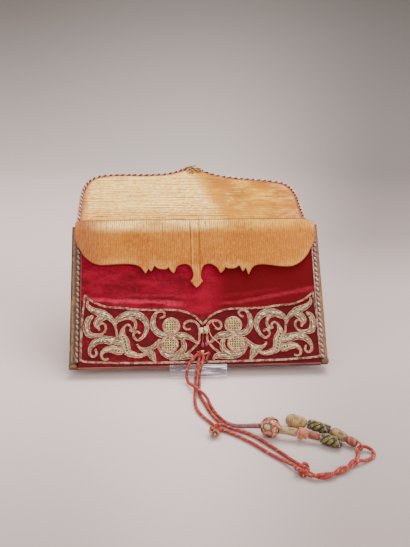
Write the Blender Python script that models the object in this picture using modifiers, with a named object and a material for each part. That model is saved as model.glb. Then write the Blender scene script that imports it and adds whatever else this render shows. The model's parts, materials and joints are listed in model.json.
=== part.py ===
"""Embroidered velvet wallet pouch, open, leaning on a clear bent-sheet stand.

World units are metres, +Z is up, +X runs to the right of the pouch's front and -Y is towards the
viewer. The origin is under the middle of the stand's ledge. Sizes and tables are in millimetres and
are turned into metres where a point is made. World y in the tables is measured from the pouch's foot.

The pouch leans back, so its parts are placed in panel coordinates:
  u  across the pouch, to the right
  s  up the leaning back panel, from its lower edge
  n  out of the back panel, towards the viewer
"""
from math import acos, atan2, ceil, cos, degrees, hypot, pi, radians, sin

import bmesh
import bpy
from mathutils import Vector
from mathutils.geometry import convex_hull_2d, delaunay_2d_cdt

MM = 0.001
GAP = 0.3                      # clearance between pieces that touch

# Pouch body
BODY_WIDTH = 190.0             # back panel, side to side
BODY_HEIGHT = 112.0            # back panel, up its slope to the hinge
BODY_LEAN = 38.0               # degrees back from upright
SHOULDER = 111.4               # s where the back panel's sides turn in to the flap
VELVET = 1.8                   # velvet with its leather backing
FRONT_WIDTH = 176.0
FRONT_FOOT = 0.3               # s of the front panel's lower edge
FRONT_TOP = 104.0              # s of the front panel's upper edge
DEPTH_FOOT = 9.5               # n of the front's face at its foot
DEPTH_GROWTH = 3.0 / 110.0     # gain of n for each millimetre up the front
GUSSET = 1.2
GUSSET_FOOT = 4.2
GUSSET_TOP = 111.0
FOOT_STRIP = 1.3

# Outer flap, thrown back
FLAP_LEAN = 70.0               # degrees back from upright, left half
FLAP_CURL = 6.5                # degrees more at the right-hand end
FLAP_AXIS = 0.3                # u of the flap's peak
FLAP_RIGHT_SCALE = 0.939       # the right half is a little narrower
HINGE_RADIUS = 10.0
LINING = 0.9
TRIM_CORD = 2.3                # twisted metal-thread edging

# Inner flap, folded over the mouth
INNER_LEATHER = 1.3
INNER_AXIS = -0.4
INNER_HALF = 91.0

# Embroidery on the front
EMBROIDERY_AXIS = 2.8
EMBROIDERY_RIGHT_SCALE = 0.945
BRAID_WIDTH = 1.6
BRAID_HEIGHT = 1.2
SCROLL_HEIGHT = 1.0

# Cords and the pieces on them
CORD = 2.1

# Stand
SHEET = 2.5
STAND_WIDTH = 41.0
STAND_CENTRE = -1.5
LIP_FACE = -12.2               # y of the lip's front
LIP_TOP = 11.0
BACKREST_TOP = 75.0            # s of the stand's upper bend
LEG_FOOT = 85.0                # y where the rear leg meets the floor
BEND_RADIUS = 2.75             # centre line of each lower bend
TOP_BEND_RADIUS = 4.5

SLOPE = radians(BODY_LEAN)
ALONG = Vector((0.0, sin(SLOPE), cos(SLOPE)))
OUT = Vector((0.0, -cos(SLOPE), sin(SLOPE)))
FOOT_Y = 4.4                   # world y of the pouch's foot
SEAT = Vector((0.0, FOOT_Y, SHEET + GAP))

# Outer flap's outline, left half: distance from the peak's axis, distance up from the hinge
FLAP_OUTLINE = (
    # out, up
    (92.1, 2.6), (91.9, 25.0), (91.9, 35.3), (91.4, 44.2), (89.9, 52.2), (87.4, 58.9), (83.3, 64.2),
    (78.2, 67.3), (71.6, 68.9), (62.6, 69.7), (51.4, 69.7), (40.1, 69.4), (30.2, 69.6), (22.6, 70.6),
    (15.8, 73.0), (9.6, 76.4), (4.1, 79.2), (0.0, 80.4),
)

# Inner flap's lower edge: distance from its axis, s on the left half, and how much lower the right is
INNER_OUTLINE = (
    # out, s_left, right_drop
    (90.9, 98.0, 0.0), (89.9, 94.0, 0.4), (87.9, 90.0, 0.4), (84.3, 83.7, 0.8), (81.3, 80.7, 1.4),
    (78.6, 78.5, 1.8), (75.3, 76.9, 2.2), (71.3, 76.0, 2.8), (66.6, 76.1, 3.2), (59.9, 76.5, 3.0),
    (53.3, 76.7, 2.2), (48.6, 76.3, 1.5), (44.6, 75.4, 1.1), (41.9, 73.7, 1.0), (40.1, 71.4, 1.2),
    (38.4, 69.0, 2.0), (36.9, 71.2, 0.4), (36.0, 72.5, 0.4), (35.1, 71.1, 0.9), (33.8, 70.8, 1.0),
    (32.6, 73.0, 0.7), (31.7, 74.7, 0.5), (30.6, 73.7, 0.3), (28.2, 72.4, 0.2), (24.8, 72.0, 0.1),
    (22.4, 72.4, 0.2), (21.4, 73.6, 0.6), (20.4, 72.0, 0.8), (19.2, 70.2, 0.5), (17.6, 68.9, 0.2),
    (16.5, 70.2, 0.4), (15.6, 73.1, 1.4), (13.9, 74.7, 1.0), (11.4, 75.7, 0.5), (8.7, 75.9, 0.0),
    (6.3, 75.1, -0.2), (4.6, 73.4, -0.4), (3.4, 70.8, -0.3), (2.9, 68.2, 0.0), (3.0, 65.3, 0.0),
    (4.3, 62.6, 0.2), (3.0, 60.1, 0.0), (1.6, 58.4, 0.0),
)

# Inner flap's section from its root at the back, over the mouth and down the front
INNER_SECTION = (
    # s, n
    (106.5, 2.8), (109.6, 2.9), (112.0, 4.0), (113.3, 6.0), (113.4, 8.4), (112.2, 10.8), (110.2, 12.6),
    (107.2, 13.7), (103.4, 14.2), (98.0, 14.2),
)
INNER_FLARE = 0.9              # how far the lowest tip stands off the velvet, beyond its top

# Frame braid, one half: distance from the embroidery's axis, s
BRAID_ROUTE = (
    # out, s
    (0.0, 2.5), (31.8, 2.6), (61.8, 3.0), (81.8, 4.1), (86.8, 4.7), (88.4, 6.4), (88.5, 12.0),
    (88.3, 24.5), (87.8, 37.0), (87.0, 45.3), (86.2, 53.4), (81.8, 49.5), (76.8, 46.8), (71.8, 44.9),
    (66.8, 44.1), (56.8, 43.3), (46.8, 42.0), (31.8, 41.6), (21.8, 41.4), (16.8, 40.75), (11.8, 39.3),
    (7.8, 37.5), (4.8, 35.3), (2.4, 32.8), (0.0, 30.2),
)

# Scrollwork, one half: each stroke is rows of distance from the axis, s and half width
STROKES = {
    # name: ((out, s, half_width), ...)
    "corner_leaf": (
        (84.1, 49.4, 0.5), (84.1, 46.0, 1.3), (81.1, 42.9, 2.0), (77.0, 41.0, 2.6), (72.8, 39.0, 3.2),
        (69.1, 37.2, 2.3), (66.6, 35.0, 1.8), (64.7, 32.6, 1.5), (63.6, 28.5, 0.8), (62.6, 22.0, 0.7)),
    "side_scroll": (
        (80.3, 38.0, 1.2), (83.0, 35.8, 2.0), (84.5, 32.6, 2.2), (84.8, 29.1, 2.5), (83.6, 25.1, 2.4),
        (80.8, 23.5, 2.0), (77.1, 23.6, 1.3), (73.8, 24.3, 0.9), (71.2, 26.7, 0.8), (71.0, 30.4, 0.8),
        (73.3, 32.3, 0.7), (75.9, 31.0, 0.7), (75.6, 27.3, 0.6)),
    "inner_crescent": (
        (71.8, 36.8, 1.2), (75.3, 36.5, 1.6), (78.0, 34.5, 1.5), (78.9, 31.5, 1.1), (77.1, 28.8, 0.5)),
    "top_scroll": (
        (64.2, 31.0, 0.8), (61.8, 35.3, 2.0), (56.8, 37.9, 2.6), (51.8, 38.9, 2.7), (46.8, 37.7, 2.8),
        (43.4, 35.3, 2.4), (41.4, 32.0, 2.1), (41.0, 28.0, 1.7), (42.2, 24.3, 1.4), (44.2, 21.4, 1.1),
        (47.4, 19.4, 0.9), (50.0, 21.0, 0.9), (50.6, 23.8, 0.9), (48.4, 25.7, 0.7), (46.1, 24.4, 0.6)),
    "inner_hook": (
        (61.8, 34.0, 1.0), (56.8, 35.9, 1.3), (52.8, 35.8, 1.3), (50.2, 34.2, 1.3), (49.1, 30.5, 1.1),
        (50.2, 27.5, 1.2), (52.6, 26.0, 1.0)),
    "lobe": (
        (53.4, 26.4, 0.7), (52.6, 29.0, 0.7), (54.8, 31.0, 0.8), (57.4, 29.4, 0.9), (58.8, 25.4, 2.0),
        (58.6, 21.6, 3.0), (57.2, 18.6, 3.6), (56.4, 14.6, 3.4), (55.2, 11.0, 2.8), (51.3, 9.0, 2.2),
        (46.8, 8.0, 1.7), (43.0, 8.9, 1.4), (41.0, 10.6, 1.3)),
    "lower_leaf": (
        (58.5, 16.5, 3.3), (65.8, 19.0, 3.4), (69.8, 20.0, 2.9), (73.8, 20.3, 2.9), (77.8, 18.8, 2.4),
        (80.8, 16.0, 1.9), (82.3, 12.6, 1.2), (81.9, 9.4, 1.0), (79.3, 8.0, 0.8), (77.2, 9.8, 0.7),
        (78.2, 13.3, 0.5)),
    "dotted_lobe": (
        (58.0, 11.5, 3.1), (62.3, 12.0, 3.0), (65.8, 13.0, 2.6), (69.3, 13.2, 2.2), (72.3, 11.8, 1.6),
        (73.8, 9.2, 1.1), (72.9, 6.4, 0.9), (70.6, 5.6, 0.8), (68.8, 6.4, 0.6)),
    "lily": (
        (48.1, 16.3, 0.4), (46.4, 13.8, 1.0), (42.8, 12.1, 1.9), (39.3, 12.3, 2.2), (36.3, 14.2, 1.9),
        (33.4, 16.8, 1.7), (31.2, 19.8, 1.0)),
    "lily_stalk": (
        (39.3, 12.3, 2.4), (38.0, 9.0, 2.8), (36.4, 5.8, 1.8), (34.9, 3.8, 0.6)),
    "bud_crescent": (
        (31.3, 35.5, 0.6), (28.6, 36.5, 0.7), (27.9, 39.2, 0.8), (30.1, 40.4, 0.7), (33.4, 40.0, 1.0),
        (35.4, 37.3, 1.5), (36.5, 33.5, 1.9), (36.2, 28.8, 2.2), (33.6, 25.0, 2.3), (29.4, 22.9, 2.2),
        (23.8, 22.8, 2.0)),
    "stem_leaf": (
        (23.8, 22.8, 2.0), (20.8, 22.2, 1.9), (17.3, 21.9, 2.9), (13.3, 21.8, 2.5), (9.6, 20.2, 1.7),
        (6.8, 18.0, 1.1), (4.2, 16.0, 0.9)),
    "small_scroll": (
        (2.6, 26.4, 0.9), (3.6, 30.0, 0.9), (5.8, 32.2, 0.9), (9.4, 33.0, 0.9), (12.9, 31.8, 0.9),
        (14.0, 28.8, 0.8), (12.0, 26.5, 0.7), (9.2, 27.2, 0.6)),
    "stem": (
        (2.6, 26.4, 0.9), (2.9, 22.0, 0.8), (3.0, 18.6, 0.7), (4.4, 15.8, 0.8), (8.0, 12.2, 0.8),
        (12.4, 8.6, 1.0)),
    "bowl": (
        (15.6, 19.2, 1.5), (14.2, 15.6, 1.9), (14.9, 11.6, 2.1), (19.0, 8.2, 2.4), (23.8, 7.2, 2.5),
        (28.2, 8.6, 1.9), (31.6, 11.6, 1.1), (33.0, 15.4, 0.8), (31.9, 18.8, 0.9)),
    "bottom_leaf": (
        (24.8, 4.9, 0.9), (18.8, 5.9, 1.8), (13.8, 6.8, 2.3), (10.0, 6.8, 2.0), (6.8, 4.6, 0.8)),
}

# Lattice-filled buds of the scrollwork
BUDS = (
    # out, s, radius
    (23.2, 29.4, 6.3),
    (24.8, 15.9, 6.4),
)

# Free cords, as hand-placed points in world millimetres
SINGLE_CORD = (
    (-1.8, -6.2, 17.1), (-4.6, -8.7, 15.8), (-7.0, -11.6, 14.0), (-8.9, -14.2, 11.4), (-10.0, -15.9, 7.8),
    (-10.2, -17.4, 4.4), (-9.4, -20.8, 2.4), (-7.9, -24.8, 3.1), (-6.2, -28.8, 3.9), (-4.2, -32.8, 4.1),
    (-2.2, -36.6, 4.1), (0.1, -40.3, 4.0), (2.3, -44.4, 3.1), (3.8, -49.4, 1.7), (5.1, -55.2, 1.4),
    (6.9, -61.6, 1.4), (9.5, -68.0, 1.4), (12.8, -73.8, 1.4), (17.4, -78.0, 1.6), (22.8, -80.6, 2.4),
    (28.2, -83.7, 4.3), (32.9, -87.0, 6.1),
)
UPPER_CORD = (
    (2.2, -6.8, 15.2), (1.7, -9.6, 14.5), (0.8, -12.6, 13.1), (-0.2, -14.9, 9.8), (-1.0, -15.9, 5.6),
    (-1.4, -18.6, 2.1), (-1.7, -24.0, 1.4), (-2.1, -30.0, 1.4), (-2.0, -36.0, 1.4), (-1.0, -42.2, 1.4),
    (0.6, -48.4, 1.4), (2.2, -55.0, 1.4), (4.2, -62.4, 1.4), (6.8, -69.4, 1.4), (10.2, -75.9, 1.4),
    (15.2, -81.0, 1.4), (21.1, -84.8, 1.4), (26.8, -89.0, 1.4), (31.8, -94.4, 1.4), (36.2, -100.4, 1.4),
    (40.6, -106.4, 1.4), (44.7, -112.4, 1.4), (48.2, -118.6, 1.7), (51.4, -125.3, 3.0),
)
LOWER_CORD = (
    (-0.9, -7.6, 14.3), (-1.3, -10.0, 14.0), (-2.0, -12.8, 12.9), (-2.9, -15.0, 9.6), (-3.6, -15.9, 5.6),
    (-4.0, -18.6, 2.1), (-4.3, -24.0, 1.4), (-4.7, -30.0, 1.4), (-5.2, -36.0, 1.4), (-5.6, -43.0, 1.4),
    (-5.6, -50.0, 1.4), (-4.6, -57.4, 1.4), (-2.2, -64.4, 1.4), (1.4, -71.0, 1.4), (5.6, -78.0, 1.4),
    (11.3, -84.0, 1.4), (17.8, -89.4, 1.4), (23.9, -95.4, 1.4), (29.4, -101.8, 1.4), (34.2, -108.2, 1.4),
    (39.0, -113.9, 1.4), (43.6, -119.4, 1.7), (48.5, -126.3, 3.0),
)
# Middle line of the doubled stretch behind the knot; its two strands wind about it
DOUBLED_ROUTE = (
    (55.9, -135.2, 2.9), (60.8, -136.9, 2.9), (66.4, -135.9, 2.9), (71.8, -133.2, 2.9),
    (77.0, -129.8, 2.9), (82.0, -126.0, 2.9), (86.0, -122.6, 2.9),
)
# The bight that joins the two strands and passes through the toggle's eye
BIGHT_ROUTE = (
    (87.3, -118.6, 2.2), (88.4, -114.9, 1.8), (88.8, -111.4, 2.6), (91.3, -108.8, 3.4),
    (95.2, -108.8, 2.9), (97.9, -111.1, 2.0), (98.5, -114.5, 1.5), (96.6, -117.7, 1.4),
    (92.2, -120.7, 1.6),
)
STRAND_OFFSET = 1.45           # each strand's distance from the middle line
STRAND_PITCH = 22.6            # length of one full wind

HITCH_AT = (1.9, 9.6, 3.4)     # u, s and lift over the front's face
BUTTON_AT = (2.8, 26.3)        # u, s
SMALL_KNOT_AT = (5.9, -86.2, 4.0)
KNOT_AT = (52.4, -131.0, 3.6)
BALL_AT = (39.2, -90.4, 7.1)

# Turned pieces on the cords, from end to end in world millimetres
TURNED = (
    # name, start, end, profile of (fraction along, radius)
    ("toggle_shaft", (46.0, -92.4, 6.3), (55.2, -95.0, 5.5),
     ((0.0, 2.4), (0.5, 2.2), (1.0, 2.5))),
    ("toggle_collar", (55.6, -95.1, 5.5), (61.4, -96.9, 5.1),
     ((0.0, 3.2), (0.18, 4.3), (0.42, 4.4), (0.6, 3.2), (0.7, 2.5), (0.84, 3.1), (1.0, 2.6))),
    ("toggle_grip", (61.9, -97.1, 5.1), (68.6, -99.6, 4.7),
     ((0.0, 2.4), (0.1, 2.7), (0.9, 2.7), (1.0, 2.2))),
    ("toggle_plait", (69.2, -99.9, 4.6), (80.4, -106.6, 4.0),
     ((0.0, 2.0), (0.08, 2.8), (0.25, 3.1), (0.75, 3.0), (1.0, 1.9))),
    ("end_knob", (51.0, -77.6, 4.7), (63.2, -83.6, 4.9),
     ((0.0, 1.6), (0.08, 3.0), (0.25, 3.9), (0.5, 4.1), (0.8, 3.5), (0.94, 2.9), (1.0, 2.0))),
    ("end_plait", (64.0, -84.1, 5.0), (76.0, -94.2, 5.8),
     ((0.0, 1.9), (0.08, 2.8), (0.3, 3.2), (0.7, 3.2), (0.93, 2.8), (1.0, 2.0))),
    ("end_sleeve", (76.5, -94.7, 5.7), (84.9, -102.1, 4.6),
     ((0.0, 2.0), (0.08, 2.9), (0.3, 3.3), (0.7, 3.0), (1.0, 2.2))),
    ("end_whipping", (85.2, -102.4, 4.4), (89.9, -106.4, 3.5),
     ((0.0, 2.2), (0.5, 2.6), (1.0, 2.2))),
)
EYE_WIRE = 1.2
EYE_HALF = 2.15                # half the spacing of the eye's two arms
EYE_ARM = 2.2                  # length of its straight arms
EYE_RUN = (0.4, -0.917, 0.0)


def point(x, y, z):
    """World point in metres from a table's millimetres."""
    return Vector((x, FOOT_Y + y, z)) * MM


def panel(u, s, n):
    """World point from panel coordinates."""
    return (Vector((u, 0.0, 0.0)) + SEAT + ALONG * s + OUT * n) * MM


def front_depth(s):
    """n of the front panel's velvet face at height s."""
    return DEPTH_FOOT + DEPTH_GROWTH * s


def front(u, s, lift):
    """World point over the front panel's face."""
    return panel(u, s, front_depth(s) + lift)


def smoothstep(edge0, edge1, x):
    t = min(max((x - edge0) / (edge1 - edge0), 0.0), 1.0)
    return t * t * (3.0 - 2.0 * t)


def flap_lean(u):
    """Lean of the outer flap; its right half curls further back."""
    turn = smoothstep(-4.0, 75.0, u)
    return radians(FLAP_LEAN + FLAP_CURL * turn)


def outer_point(u, v, lift):
    """Point over the inner face of the back panel and outer flap, v measured up the sheet."""
    base = v - BODY_HEIGHT
    if base <= 0.0:
        return panel(u, v, VELVET + lift)
    lean = flap_lean(u)
    turn = min(base / HINGE_RADIUS, lean - SLOPE)
    reach = base - HINGE_RADIUS * turn
    angle = SLOPE + turn
    hinge = SEAT + ALONG * BODY_HEIGHT + OUT * VELVET
    bend_y = HINGE_RADIUS * (cos(SLOPE) - cos(angle))
    bend_z = HINGE_RADIUS * (sin(angle) - sin(SLOPE))
    along = Vector((0.0, sin(angle), cos(angle)))
    out = Vector((0.0, -cos(angle), sin(angle)))
    return (Vector((u, 0.0, 0.0)) + hinge + Vector((0.0, bend_y, bend_z)) + along * reach + out * lift) * MM


def material(name, colour, roughness, metallic=0.0, transmission=0.0):
    """A Principled material, made once for each name."""
    found = bpy.data.materials.get(name)
    if found:
        return found
    made = bpy.data.materials.new(name)
    made.use_nodes = True
    shader = made.node_tree.nodes["Principled BSDF"]
    shader.inputs["Base Color"].default_value = (*colour, 1.0)
    shader.inputs["Roughness"].default_value = roughness
    shader.inputs["Metallic"].default_value = metallic
    shader.inputs["Transmission Weight"].default_value = transmission
    made.diffuse_color = (*colour, 1.0)
    return made


def velvet():
    return material("crimson_velvet", (0.36, 0.012, 0.03), 0.9)


def leather():
    return material("tan_leather", (0.55, 0.27, 0.1), 0.5)


def gusset_leather():
    return material("gusset_leather", (0.36, 0.22, 0.13), 0.6)


def gilt_thread():
    return material("silver_gilt_thread", (0.56, 0.47, 0.3), 0.45, metallic=0.6)


def twisted_trim():
    return material("twisted_trim", (0.5, 0.4, 0.38), 0.5, metallic=0.4)


def red_cord():
    return material("red_cord", (0.55, 0.07, 0.05), 0.6)


def cream_thread():
    return material("cream_thread", (0.62, 0.48, 0.3), 0.6)


def plait_thread():
    return material("plait_thread", (0.38, 0.3, 0.06), 0.6)


def clear_sheet():
    return material("clear_acrylic", (0.92, 0.94, 0.96), 0.05, transmission=1.0)


def add_object(name, data, finish):
    """Link a mesh or curve as a named object with its own material."""
    made = bpy.data.objects.new(name, data)
    data.materials.append(finish)
    parts.objects.link(made)
    return made


def add_solidify(item, thickness, offset):
    """Give an open sheet its thickness: offset 1 grows it outward, -1 inward."""
    solid = item.modifiers.new("thickness", "SOLIDIFY")
    solid.thickness = thickness * MM
    solid.offset = offset
    solid.use_even_offset = True


def smooth_curve(rows, spacing):
    """Points about spacing apart on a Catmull-Rom curve through rows of any width."""
    rows = [Vector(row) for row in rows]
    ends = [rows[0] * 2 - rows[1]] + rows + [rows[-1] * 2 - rows[-2]]
    found = []
    for before, start, end, after in zip(ends, ends[1:], ends[2:], ends[3:]):
        count = max(1, round((end - start).length / spacing))
        for step in range(count):
            t = step / count
            found.append(0.5 * (2 * start + (end - before) * t
                                + (2 * before - 5 * start + 4 * end - after) * t * t
                                + (3 * start - before - 3 * end + after) * t ** 3))
    return found + [rows[-1]]


def tube(name, route, diameter, finish, rings=2):
    """A cord along route, in metres, as a bevelled poly curve with filled caps."""
    curve = bpy.data.curves.new(name, "CURVE")
    curve.dimensions = "3D"
    curve.bevel_depth = diameter * MM / 2
    curve.bevel_resolution = rings
    curve.use_fill_caps = True
    spline = curve.splines.new("POLY")
    spline.points.add(len(route) - 1)
    for knot, place in zip(spline.points, route):
        knot.co = (*place, 1.0)
    return add_object(name, curve, finish)


def floor_cord(name, rows, spacing=4.4):
    """A free cord through world points in millimetres."""
    route = [point(*row) for row in smooth_curve(rows, spacing)]
    return tube(name, route, CORD, red_cord())


def cut_sheet(name, outline, folds, place, thickness, offset, finish):
    """A sheet cut to an outline in its flat pattern and bent along fold lines by place(u, v)."""
    points = [Vector(row) for row in outline]
    edges = []
    for start, end in folds:
        edges.append((len(points), len(points) + 1))
        points += [Vector(start), Vector(end)]
    cut = delaunay_2d_cdt(points, edges, [list(range(len(outline)))], 1, 1e-4)
    flat, _, faces, _, _, origins = cut
    mesh = bmesh.new()
    corners = [mesh.verts.new(place(*spot)) for spot in flat]
    for face, origin in zip(faces, origins):
        if origin:
            mesh.faces.new([corners[i] for i in face])
    loose = [corner for corner in corners if not corner.link_faces]
    bmesh.ops.delete(mesh, geom=loose, context="VERTS")
    data = bpy.data.meshes.new(name)
    mesh.to_mesh(data)
    mesh.free()
    made = add_object(name, data, finish)
    add_solidify(made, thickness, offset)
    return made


def inset(route, distance):
    """Shift each point of a flat route to its right-hand side."""
    shifted = []
    for i, spot in enumerate(route):
        before = route[max(i - 1, 0)]
        after = route[min(i + 1, len(route) - 1)]
        run = (Vector(after) - Vector(before)).normalized()
        shifted.append((spot[0] + run.y * distance, spot[1] - run.x * distance))
    return shifted


def flap_edge(distance):
    """Outer flap's outline from its left foot over the peak to its right foot, drawn in by distance."""
    left = [(FLAP_AXIS - out, up) for out, up in FLAP_OUTLINE]
    right = [(FLAP_AXIS + out * FLAP_RIGHT_SCALE, up) for out, up in FLAP_OUTLINE[-2::-1]]
    return [(u, v + BODY_HEIGHT) for u, v in inset(left + right, distance)]


def flap_folds(width):
    """Fold lines of the back panel's hinge and of the flap's curl."""
    hinge = HINGE_RADIUS * radians(FLAP_LEAN - BODY_LEAN)
    rows = [BODY_HEIGHT + hinge * i / 3 for i in range(4)]
    folds = [((-width, v), (width, v)) for v in rows]
    top = BODY_HEIGHT + FLAP_OUTLINE[-1][1]
    folds += [((u, BODY_HEIGHT), (u, top)) for u in (-4.0, 16.0, 32.0, 48.0, 66.0)]
    return folds


def make_back_panel():
    """Velvet back and outer flap, one sheet."""
    half = BODY_WIDTH / 2
    edge = flap_edge(TRIM_CORD + 2 * GAP)
    neck = BODY_HEIGHT + 0.9
    outline = [(half, 0.5), (half, SHOULDER), (edge[-1][0], neck)] + edge[::-1]
    outline += [(edge[0][0], neck), (-half, SHOULDER), (-half, 0.5)]
    return cut_sheet("back_panel", outline, flap_folds(half + 1),
                     lambda u, v: outer_point(u, v, 0.0), VELVET, -1, velvet())


def make_flap_lining():
    """Leather face of the outer flap."""
    edge = flap_edge(TRIM_CORD + 3 * GAP)
    outline = [(edge[-1][0], BODY_HEIGHT + 1.0)] + edge[::-1] + [(edge[0][0], BODY_HEIGHT + 1.0)]
    return cut_sheet("flap_lining", outline, flap_folds(BODY_WIDTH / 2),
                     lambda u, v: outer_point(u, v, GAP), LINING, 1, leather())


def make_flap_trim():
    """Twisted cord round the outer flap and the thread tuft at its peak."""
    edge = flap_edge(TRIM_CORD / 2)
    route = [outer_point(u, v, -VELVET / 4) for u, v in smooth_curve(edge, 7.0)]
    tube("flap_edge_cord", route, TRIM_CORD, twisted_trim(), rings=1)
    tuft = outer_point(FLAP_AXIS, BODY_HEIGHT + FLAP_OUTLINE[-1][1] + 1.6, 0.0)
    lobed_ball("flap_peak_tuft", tuft, (3.4, 1.1, 1.1), 0.0, 3, 0.1, gilt_thread(), 8, 6)


def make_front_panel():
    """Velvet front of the pocket."""
    half = FRONT_WIDTH / 2
    outline = [(-half, FRONT_FOOT), (half, FRONT_FOOT), (half, FRONT_TOP), (-half, FRONT_TOP)]
    return cut_sheet("front_panel", outline, [], lambda u, s: front(u, s, 0.0), VELVET, -1, velvet())


def make_gusset(name, side):
    """Leather side wall, from under the front's edge out to the back panel's edge."""
    half = FRONT_WIDTH / 2
    mesh = bmesh.new()
    rows = []
    for top in (False, True):
        depth = front_depth(GUSSET_TOP if top else GUSSET_FOOT) - VELVET - GAP - GUSSET
        section = (
            # u, n, how far short of the top it stops
            (half - 1.4, depth, 6.0), (half + 2.4, depth, 5.5),
            (half + 5.6, VELVET + 1.9, 0.6), (half + 6.6, VELVET + 1.1, 0.0),
        )
        rows.append([
            mesh.verts.new(panel(side * u, GUSSET_TOP - short if top else GUSSET_FOOT, n))
            for u, n, short in section
        ])
    for low, high in zip(rows, rows[1:]):
        for a, b, c, d in zip(low, low[1:], high[1:], high):
            mesh.faces.new((a, b, c, d) if side > 0 else (d, c, b, a))
    data = bpy.data.meshes.new(name)
    mesh.to_mesh(data)
    mesh.free()
    add_solidify(add_object(name, data, gusset_leather()), GUSSET, 0)


def make_foot_strip():
    """Leather strip that closes the pocket's foot."""
    half = FRONT_WIDTH / 2
    near = DEPTH_FOOT - VELVET - GAP
    far = VELVET + GAP
    outline = [(-half, far), (half, far), (half, near), (-half, near)]
    return cut_sheet("foot_strip", outline, [], lambda u, n: panel(u, 0.6 + FOOT_STRIP, n),
                     FOOT_STRIP, 1, gusset_leather())


def make_corner_cap(name, side):
    """Rounded leather cap over a lower corner of the gusset."""
    bpy.ops.mesh.primitive_cube_add(size=1.0)
    made = bpy.context.object
    made.name = name
    width, rise = 6.2, GUSSET_FOOT - GAP - 0.2
    depth = DEPTH_FOOT - VELVET - GAP
    scale = (width, rise, depth)
    centre_u = side * (FRONT_WIDTH / 2 + GAP + width / 2)
    for corner in made.data.vertices:
        u, s, n = (corner.co[i] * scale[i] for i in range(3))
        corner.co = panel(centre_u + u, 0.2 + rise / 2 + s, VELVET + GAP + depth / 2 + n)
    bpy.context.collection.objects.unlink(made)
    parts.objects.link(made)
    made.data.materials.append(gusset_leather())
    bevel = made.modifiers.new("rounded", "BEVEL")
    bevel.width = 1.2 * MM
    bevel.segments = 2


def make_side_cord(name, side):
    """Twisted cord over the seam between the front panel and a gusset."""
    across = side * (FRONT_WIDTH / 2 + GAP + TRIM_CORD / 2)
    heights = [GUSSET_FOOT + 0.2 + step * 20.0 for step in range(6)]
    route = [front(across, s, -0.45) for s in heights]
    tube(name, route, TRIM_CORD, twisted_trim(), rings=1)


def section_lookup(v):
    """s and n of the inner flap's middle at length v from its root."""
    for start, end, reached in inner_lengths:
        length = (end - start).length
        if v <= reached + length:
            return start.lerp(end, (v - reached) / length)
    start, end, reached = inner_lengths[-1]
    run = (end - start).normalized()
    return end + run * (v - reached - (end - start).length)


def inner_point(u, v):
    """Point on the inner flap's outer face, v measured from its root."""
    s, n = section_lookup(v)
    hang = max(INNER_SECTION[-1][0] - s, 0.0) if v > INNER_SECTION_LENGTH else 0.0
    n -= hang * DEPTH_GROWTH
    n += INNER_FLARE * (hang / 40.0) ** 2
    over = smoothstep(4.0, 9.0, v) * (1.0 - smoothstep(14.0, 26.0, v))
    droop = smoothstep(80.0, 93.0, u) * 3.0 + smoothstep(-86.0, -94.0, u) * 1.5
    return panel(u, s - droop * over, n)


def make_inner_flap():
    """Leather flap folded over the mouth, with its cut lower edge and pendant."""
    foot = INNER_SECTION[-1][0]
    reach = INNER_SECTION_LENGTH + foot
    left = [(INNER_AXIS - out, reach - s) for out, s, _ in INNER_OUTLINE]
    right = [(INNER_AXIS + out, reach - s + drop) for out, s, drop in INNER_OUTLINE[::-1]]
    half = INNER_HALF
    root = [(INNER_AXIS + half, 16.0), (INNER_AXIS + half - 1.0, 6.0), (INNER_AXIS + half - 4.5, 0.0),
            (INNER_AXIS - half + 4.5, 0.0), (INNER_AXIS - half + 1.0, 6.0), (INNER_AXIS - half, 16.0)]
    tip = [(INNER_AXIS, reach - 57.6)]
    outline = left + tip + right + root
    rows = sorted({reached for _, _, reached in inner_lengths[1:]} | {INNER_SECTION_LENGTH})
    folds = [((-half - 3, v), (half + 3, v)) for v in rows]
    folds += [((u, 3.0), (u, INNER_SECTION_LENGTH)) for u in (-87.0, 83.0, 87.0)]
    return cut_sheet("inner_flap", outline[::-1], folds, inner_point, INNER_LEATHER, 0, leather())


def segment_hulls(rows):
    """Convex pieces of a flat stroke whose rows hold two coordinates and a half width."""
    sides = []
    for i, row in enumerate(rows):
        before = rows[max(i - 1, 0)]
        after = rows[min(i + 1, len(rows) - 1)]
        run = Vector((after[0] - before[0], after[1] - before[1])).normalized()
        across = Vector((-run.y, run.x)) * row[2]
        middle = Vector((row[0], row[1]))
        sides.append((middle + across, middle - across))
    hulls = []
    for start, end in zip(sides, sides[1:]):
        corners = [*start, *end]
        hulls.append([corners[i] for i in convex_hull_2d(corners)])
    return hulls


def disc_hull(out, s, radius, sides=14):
    angles = [2 * pi * i / sides for i in range(sides)]
    return [Vector((out + radius * cos(a), s + radius * sin(a))) for a in angles]


def place_half(hulls, side):
    """Carry hulls from distance-from-axis to u on the left (-1) or right (1) half."""
    scale = -1.0 if side < 0 else EMBROIDERY_RIGHT_SCALE
    moved = []
    for hull in hulls:
        spots = [Vector((EMBROIDERY_AXIS + spot.x * scale, spot.y)) for spot in hull]
        moved.append(spots if side > 0 else spots[::-1])
    return moved


def largest_island(mesh):
    """Delete every face outside the largest edge-connected group."""
    unseen = set(mesh.faces)
    groups = []
    while unseen:
        stack = [unseen.pop()]
        group = set(stack)
        while stack:
            for edge in stack.pop().edges:
                for face in edge.link_faces:
                    if face in unseen:
                        unseen.discard(face)
                        group.add(face)
                        stack.append(face)
        groups.append(group)
    kept = max(groups, key=lambda group: sum(face.calc_area() for face in group))
    drop = [face for face in mesh.faces if face not in kept]
    bmesh.ops.delete(mesh, geom=drop, context="FACES")


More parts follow.
